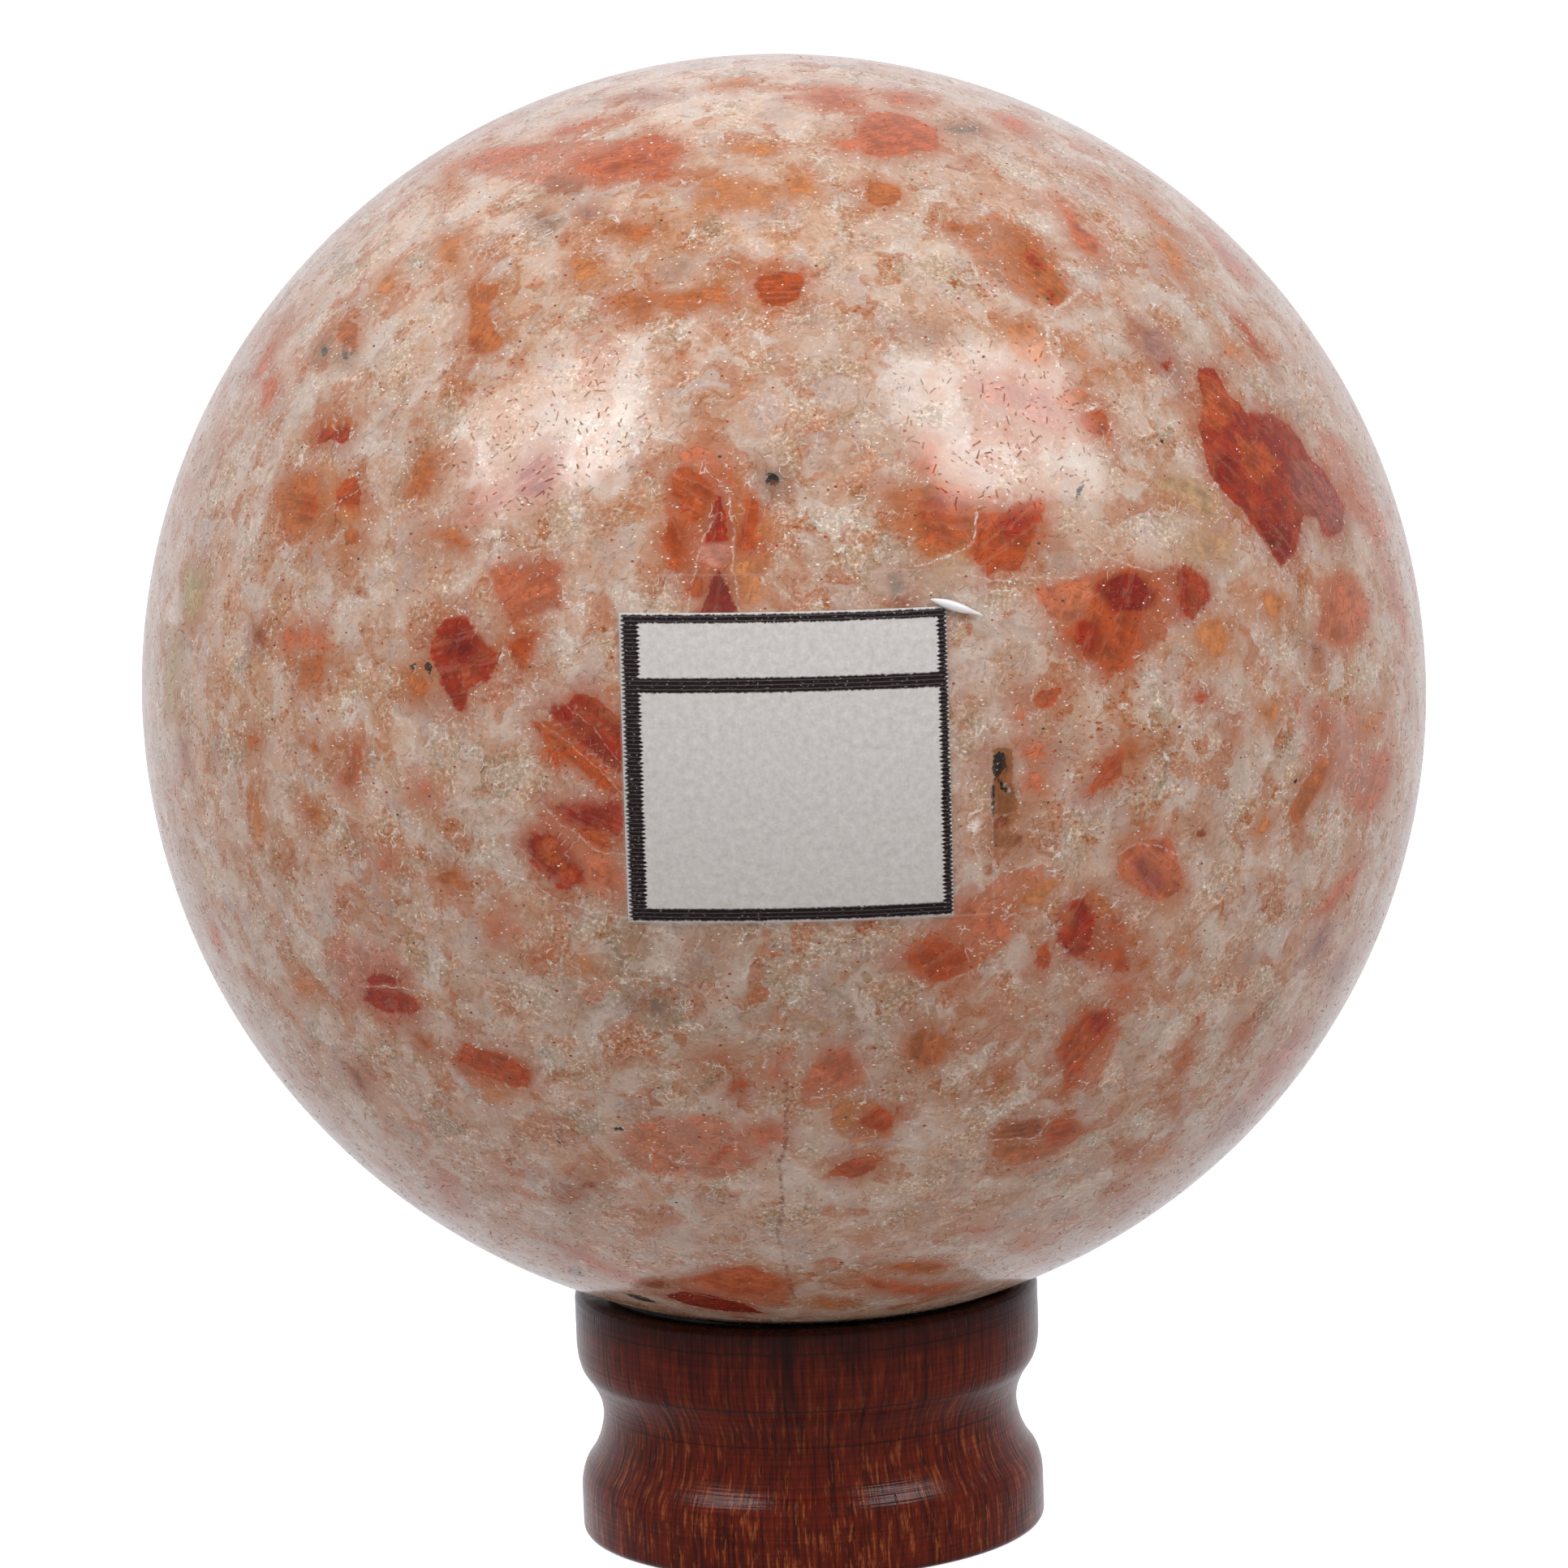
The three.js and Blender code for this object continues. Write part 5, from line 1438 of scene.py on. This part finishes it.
def bent_sheet(name, sheet):
    """A thin sheet bent onto the ball's front, with a UV map in mm from its middle."""
    grid = np.linspace(-0.5, 0.5, SHEET_STEPS + 1)
    rows, columns = np.meshgrid(grid * sheet.height, grid * sheet.width, indexing="ij")
    flat = np.stack([columns.ravel(), rows.ravel()], axis=1)
    across = flat[:, 0] * math.cos(sheet.turn) + flat[:, 1] * math.sin(sheet.turn) + sheet.across
    up = flat[:, 1] * math.cos(sheet.turn) - flat[:, 0] * math.sin(sheet.turn) + sheet.up
    depth = np.sqrt(BALL_RADIUS**2 - across**2 - up**2)
    touching = np.stack([across, -depth, up], axis=1)
    normal = unit(touching)
    back = out_of_round(touching) + normal * sheet.gap
    face = back + normal * sheet.thickness
    points = np.concatenate([face, back]) + middle_mm
    wide = SHEET_STEPS + 1
    under = wide * wide
    faces = []
    for row in range(SHEET_STEPS):
        for column in range(SHEET_STEPS):
            corner = row * wide + column
            quad = [corner, corner + 1, corner + wide + 1, corner + wide]
            faces.append(quad)
            faces.append([under + i for i in reversed(quad)])
    bottom = list(range(wide))
    right = list(range(wide - 1, under, wide))
    top = list(range(under - 1, under - wide - 1, -1))
    left = list(range(under - wide, -1, -wide))
    for edge in (bottom, right, top, left):
        faces += [[b, a, a + under, b + under] for a, b in zip(edge, edge[1:])]
    data = bpy.data.meshes.new(name)
    data.from_pydata((points * MM).tolist(), [], faces)
    in_mm = np.concatenate([flat, flat]).astype(np.float32)
    around = np.empty(len(data.loops), dtype=np.int32)
    data.loops.foreach_get("vertex_index", around)
    data.uv_layers.new(name="sheet_mm").uv.foreach_set("vector", in_mm[around].ravel())
    data.shade_smooth()
    piece = bpy.data.objects.new(name, data)
    bpy.context.scene.collection.objects.link(piece)
    return piece


SHEET_TURN = math.radians(0.7)
label_sheet = Sheet(width=16.2, height=15.6, across=0, up=0.95, turn=SHEET_TURN, gap=0.05, thickness=0.1)
label = bent_sheet("paper_rectangle", label_sheet)

# Margins and widths of the printed frame in mm. The rule's middle is measured
# down from the top of the paper.
MARGIN_LEFT = 0.14
MARGIN_RIGHT = 0.03
MARGIN_TOP = 0.09
MARGIN_BOTTOM = 0.10
FRAME_LEFT = 0.80
FRAME_RIGHT = 0.42
FRAME_TOP = 0.42
FRAME_BOTTOM = 0.64
RULE_BELOW = 3.56
RULE_THICKNESS = 0.74
label_left = -label_sheet.width / 2 + MARGIN_LEFT
label_right = label_sheet.width / 2 - MARGIN_RIGHT
label_top = label_sheet.height / 2 - MARGIN_TOP
label_bottom = -label_sheet.height / 2 + MARGIN_BOTTOM
rule_middle = label_sheet.height / 2 - RULE_BELOW
printed_out_to = (label_left, label_right, label_bottom, label_top)
field_left = label_left + FRAME_LEFT
field_right = label_right - FRAME_RIGHT
header_field = (field_left, field_right, rule_middle + RULE_THICKNESS / 2, label_top - FRAME_TOP)
body_field = (field_left, field_right, label_bottom + FRAME_BOTTOM, rule_middle - RULE_THICKNESS / 2)

# Office paper, matt and slightly fibrous. The toner sits on it in fine
# uneven lines 0.2 mm apart, with pinholes, and has a faint shine.
printed_paper, tree = new_material("printed_paper")
on_sheet = add(tree, "UVMap", uv_map="sheet_mm")
tooth_mm = add(tree, "Mapping", {"Vector": on_sheet, "Scale": (1.5, 6.5, 1)})
teeth = add(tree, "TexNoise", {"Vector": tooth_mm, "Scale": 1.0, "Detail": 3.0, "Roughness": 0.7})
rise_mm = add(tree, "Mapping", {"Vector": on_sheet, "Scale": (5.5, 2.0, 1)})
rises = add(tree, "TexNoise", {"Vector": rise_mm, "Scale": 1.0, "Detail": 3.0, "Roughness": 0.7})
tooth = add(tree, "MapRange", {"Value": teeth, "To Min": -0.20, "To Max": 0.20})
rise = add(tree, "MapRange", {"Value": rises, "To Min": -0.12, "To Max": 0.12})
sheet_at = add(tree, "SeparateXYZ", {0: on_sheet}).outputs
PRINT_LINE_SPACING = 0.21
raster = add(tree, "Math", {0: sheet_at["Y"], 1: 2 * math.pi / PRINT_LINE_SPACING}, operation="MULTIPLY")
raster = add(tree, "Math", {0: raster}, operation="SINE")
tooth = add(tree, "Math", {0: raster, 1: 0.07, 2: tooth}, operation="MULTIPLY_ADD")
areas = []
for low_x, high_x, low_y, high_y in (printed_out_to, header_field, body_field):
    sides = [
        add(tree, "Math", {0: sheet_at["X"], 1: low_x}, operation="SUBTRACT"),
        add(tree, "Math", {0: high_x, 1: sheet_at["X"]}, operation="SUBTRACT"),
        add(tree, "Math", {0: sheet_at["Y"], 1: low_y}, operation="SUBTRACT"),
        add(tree, "Math", {0: high_y, 1: sheet_at["Y"]}, operation="SUBTRACT"),
    ]
    sides = [
        add(tree, "Math", {0: side, 1: ragged_edge}, operation="ADD")
        for side, ragged_edge in zip(sides, (tooth, tooth, rise, rise))
    ]
    within = add(tree, "Math", {0: sides[0], 1: sides[1]}, operation="MINIMUM")
    for side in sides[2:]:
        within = add(tree, "Math", {0: within, 1: side}, operation="MINIMUM")
    within = add(tree, "MapRange", {"Value": within, "From Min": -0.035, "From Max": 0.035})
    areas.append(within)
printed = areas[0]
for bare_field in areas[1:]:
    printed = add(tree, "Math", {0: printed, 1: bare_field}, operation="SUBTRACT", use_clamp=True)
hole_mm = add(tree, "Mapping", {"Vector": on_sheet, "Scale": (3.4, 7.0, 1)})
holes = add(tree, "TexNoise", {"Vector": hole_mm, "Scale": 1.2, "Detail": 2.0, "Roughness": 0.8})
hole_part = add(tree, "MapRange", {"Value": holes, "From Min": 0.63, "From Max": 0.69, "To Max": 0.6})
print_line = add(tree, "MapRange", {"Value": raster, "From Min": 0.5, "From Max": 1.0, "To Max": 0.10})
hole_part = add(tree, "Math", {0: hole_part, 1: print_line}, operation="MAXIMUM")
solid = add(tree, "Math", {0: 1.0, 1: hole_part}, operation="SUBTRACT")
toner = add(tree, "Math", {0: printed, 1: solid}, operation="MULTIPLY")
blot = add(tree, "TexNoise", {"Vector": on_sheet, "Scale": 2.4, "Detail": 4.0, "Roughness": 0.85})
blot = add(tree, "MapRange", {"Value": blot, "From Min": 0.3, "From Max": 0.7})
paper_colour = add(tree, "Mix", {0: blot, 6: linear("#c8c4bf"), 7: linear("#e8e4e1")}, data_type="RGBA")
paper_colour = add(tree, "Mix", {0: toner, 6: paper_colour, 7: linear("#1a060c")}, data_type="RGBA")
paper_rough = add(tree, "MapRange", {"Value": toner, "To Min": 0.85, "To Max": 0.5})
fibre_height = add(tree, "TexNoise", {"Vector": on_sheet, "Scale": 4.0, "Detail": 3.0})
paper_bump = add(tree, "Bump", {"Height": fibre_height, "Strength": 0.35, "Distance": 0.00003})
paper_shader = add(
    tree,
    "BsdfPrincipled",
    {
        "Base Color": paper_colour, "Roughness": paper_rough, "IOR": 1.46,
        "Specular IOR Level": 0.05, "Normal": paper_bump,
    },
)
add(tree, "OutputMaterial", {"Surface": paper_shader})
label.data.materials.append(printed_paper)
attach(label, "root")
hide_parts("paper_label")


# Clear tape
# A strip of clear adhesive film, pressed over the label by hand. It reaches
# past the label at the top and the right, and has one short pinched wrinkle.
tape_sheet = Sheet(width=18.3, height=17.5, across=1.0, up=1.85, turn=SHEET_TURN, gap=0.2, thickness=0.05)
tape = bent_sheet("clear_film_strip", tape_sheet)

# Clear film: almost unseen but for its cut edges and its gloss
clear_film, tree = new_material("clear_film")
on_sheet = add(tree, "UVMap", uv_map="sheet_mm")
sheet_at = add(tree, "SeparateXYZ", {0: on_sheet}).outputs
away_x = add(tree, "Math", {0: sheet_at["X"]}, operation="ABSOLUTE")
away_y = add(tree, "Math", {0: sheet_at["Y"]}, operation="ABSOLUTE")
edge_x = add(tree, "Math", {0: tape_sheet.width / 2, 1: away_x}, operation="SUBTRACT")
edge_y = add(tree, "Math", {0: tape_sheet.height / 2, 1: away_y}, operation="SUBTRACT")
edge = add(tree, "Math", {0: edge_x, 1: edge_y}, operation="MINIMUM")
film_alpha = add(
    tree, "MapRange", {"Value": edge, "From Min": 0.0, "From Max": 0.16, "To Min": 0.08, "To Max": 0.009},
    interpolation_type="SMOOTHSTEP",
)
film_shader = add(
    tree,
    "BsdfPrincipled",
    {"Base Color": linear("#e2dcd7"), "Roughness": 0.22, "IOR": 1.47, "Alpha": film_alpha},
)
add(tree, "OutputMaterial", {"Surface": film_shader})
tape.data.materials.append(clear_film)

# The wrinkle: the film pinched up in a low fold, widest in its middle
WRINKLE_FROM = (1145, 739)
WRINKLE_TO = (1210, 759)
WRINKLE_WIDTH = 0.52
WRINKLE_HEIGHT = 0.22
WRINKLE_LIFT = tape_sheet.gap + tape_sheet.thickness - 0.02
WRINKLE_TIP = 0.02
WRINKLE_SKEW = 1.15
WRINKLE_FULLNESS = 0.7
WRINKLE_STEPS = 28
WRINKLE_SIDES = 10
start = on_stone(*WRINKLE_FROM)
end = on_stone(*WRINKLE_TO)
fold_points = []
for step in range(WRINKLE_STEPS + 1):
    along = step / WRINKLE_STEPS
    middle = unit(start + (end - start) * along)
    sideways = unit(np.cross(end - start, middle))
    swell = WRINKLE_TIP
    if 0 < along < 1:
        swell = math.sin(math.pi * min(along * WRINKLE_SKEW, 0.5 + along * 0.5)) ** WRINKLE_FULLNESS
    base = out_of_round(middle[None] * BALL_RADIUS)[0] + middle * WRINKLE_LIFT
    for side in range(WRINKLE_SIDES):
        angle = 2 * math.pi * side / WRINKLE_SIDES
        rise = max(math.sin(angle), 0) * WRINKLE_HEIGHT * swell
        spread = math.cos(angle) * WRINKLE_WIDTH / 2 * swell
        fold_points.append(base + sideways * spread + middle * rise)
fold_faces = []
for step in range(WRINKLE_STEPS):
    for side in range(WRINKLE_SIDES):
        a = step * WRINKLE_SIDES + side
        b = step * WRINKLE_SIDES + (side + 1) % WRINKLE_SIDES
        fold_faces.append([a, b, b + WRINKLE_SIDES, a + WRINKLE_SIDES])
last = WRINKLE_STEPS * WRINKLE_SIDES
fold_faces.append([last + side for side in range(WRINKLE_SIDES)])
fold_faces.append([side for side in reversed(range(WRINKLE_SIDES))])
fold_data = bpy.data.meshes.new("wrinkle")
fold_data.from_pydata(((np.array(fold_points) + middle_mm) * MM).tolist(), [], fold_faces)
fold_data.shade_smooth()
tape_mesh = bmesh.new()
tape_mesh.from_mesh(tape.data)
tape_mesh.from_mesh(fold_data)
sheet_faces = len(tape.data.polygons)
tape_mesh.faces.ensure_lookup_table()
bmesh.ops.recalc_face_normals(tape_mesh, faces=tape_mesh.faces[sheet_faces:])
for face in tape_mesh.faces[sheet_faces:]:
    face.material_index = 1
tape_mesh.to_mesh(tape.data)
tape_mesh.free()

# The pinched film is folded on itself and painted white as a glint, and its gloss shines as well
folded_film_painted_glint, tree = new_material("folded_film_painted_glint")
where = add(tree, "TexCoord").outputs["Object"]
mm = add(tree, "Mapping", {"Vector": where, "Scale": PER_MM})
crease = add(tree, "TexNoise", {"Vector": mm, "Scale": 1.5, "Detail": 2.0})
crease_bump = add(tree, "Bump", {"Height": crease, "Strength": 0.3, "Distance": 0.0001})
folded_shader = add(
    tree,
    "BsdfPrincipled",
    {
        "Base Color": linear("#fdfcfb"), "Roughness": 0.25, "IOR": 1.6,
        "Specular IOR Level": 1.0, "Normal": crease_bump,
    },
)
add(tree, "OutputMaterial", {"Surface": folded_shader})
tape.data.materials.append(folded_film_painted_glint)
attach(tape, "root")
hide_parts("clear_tape")
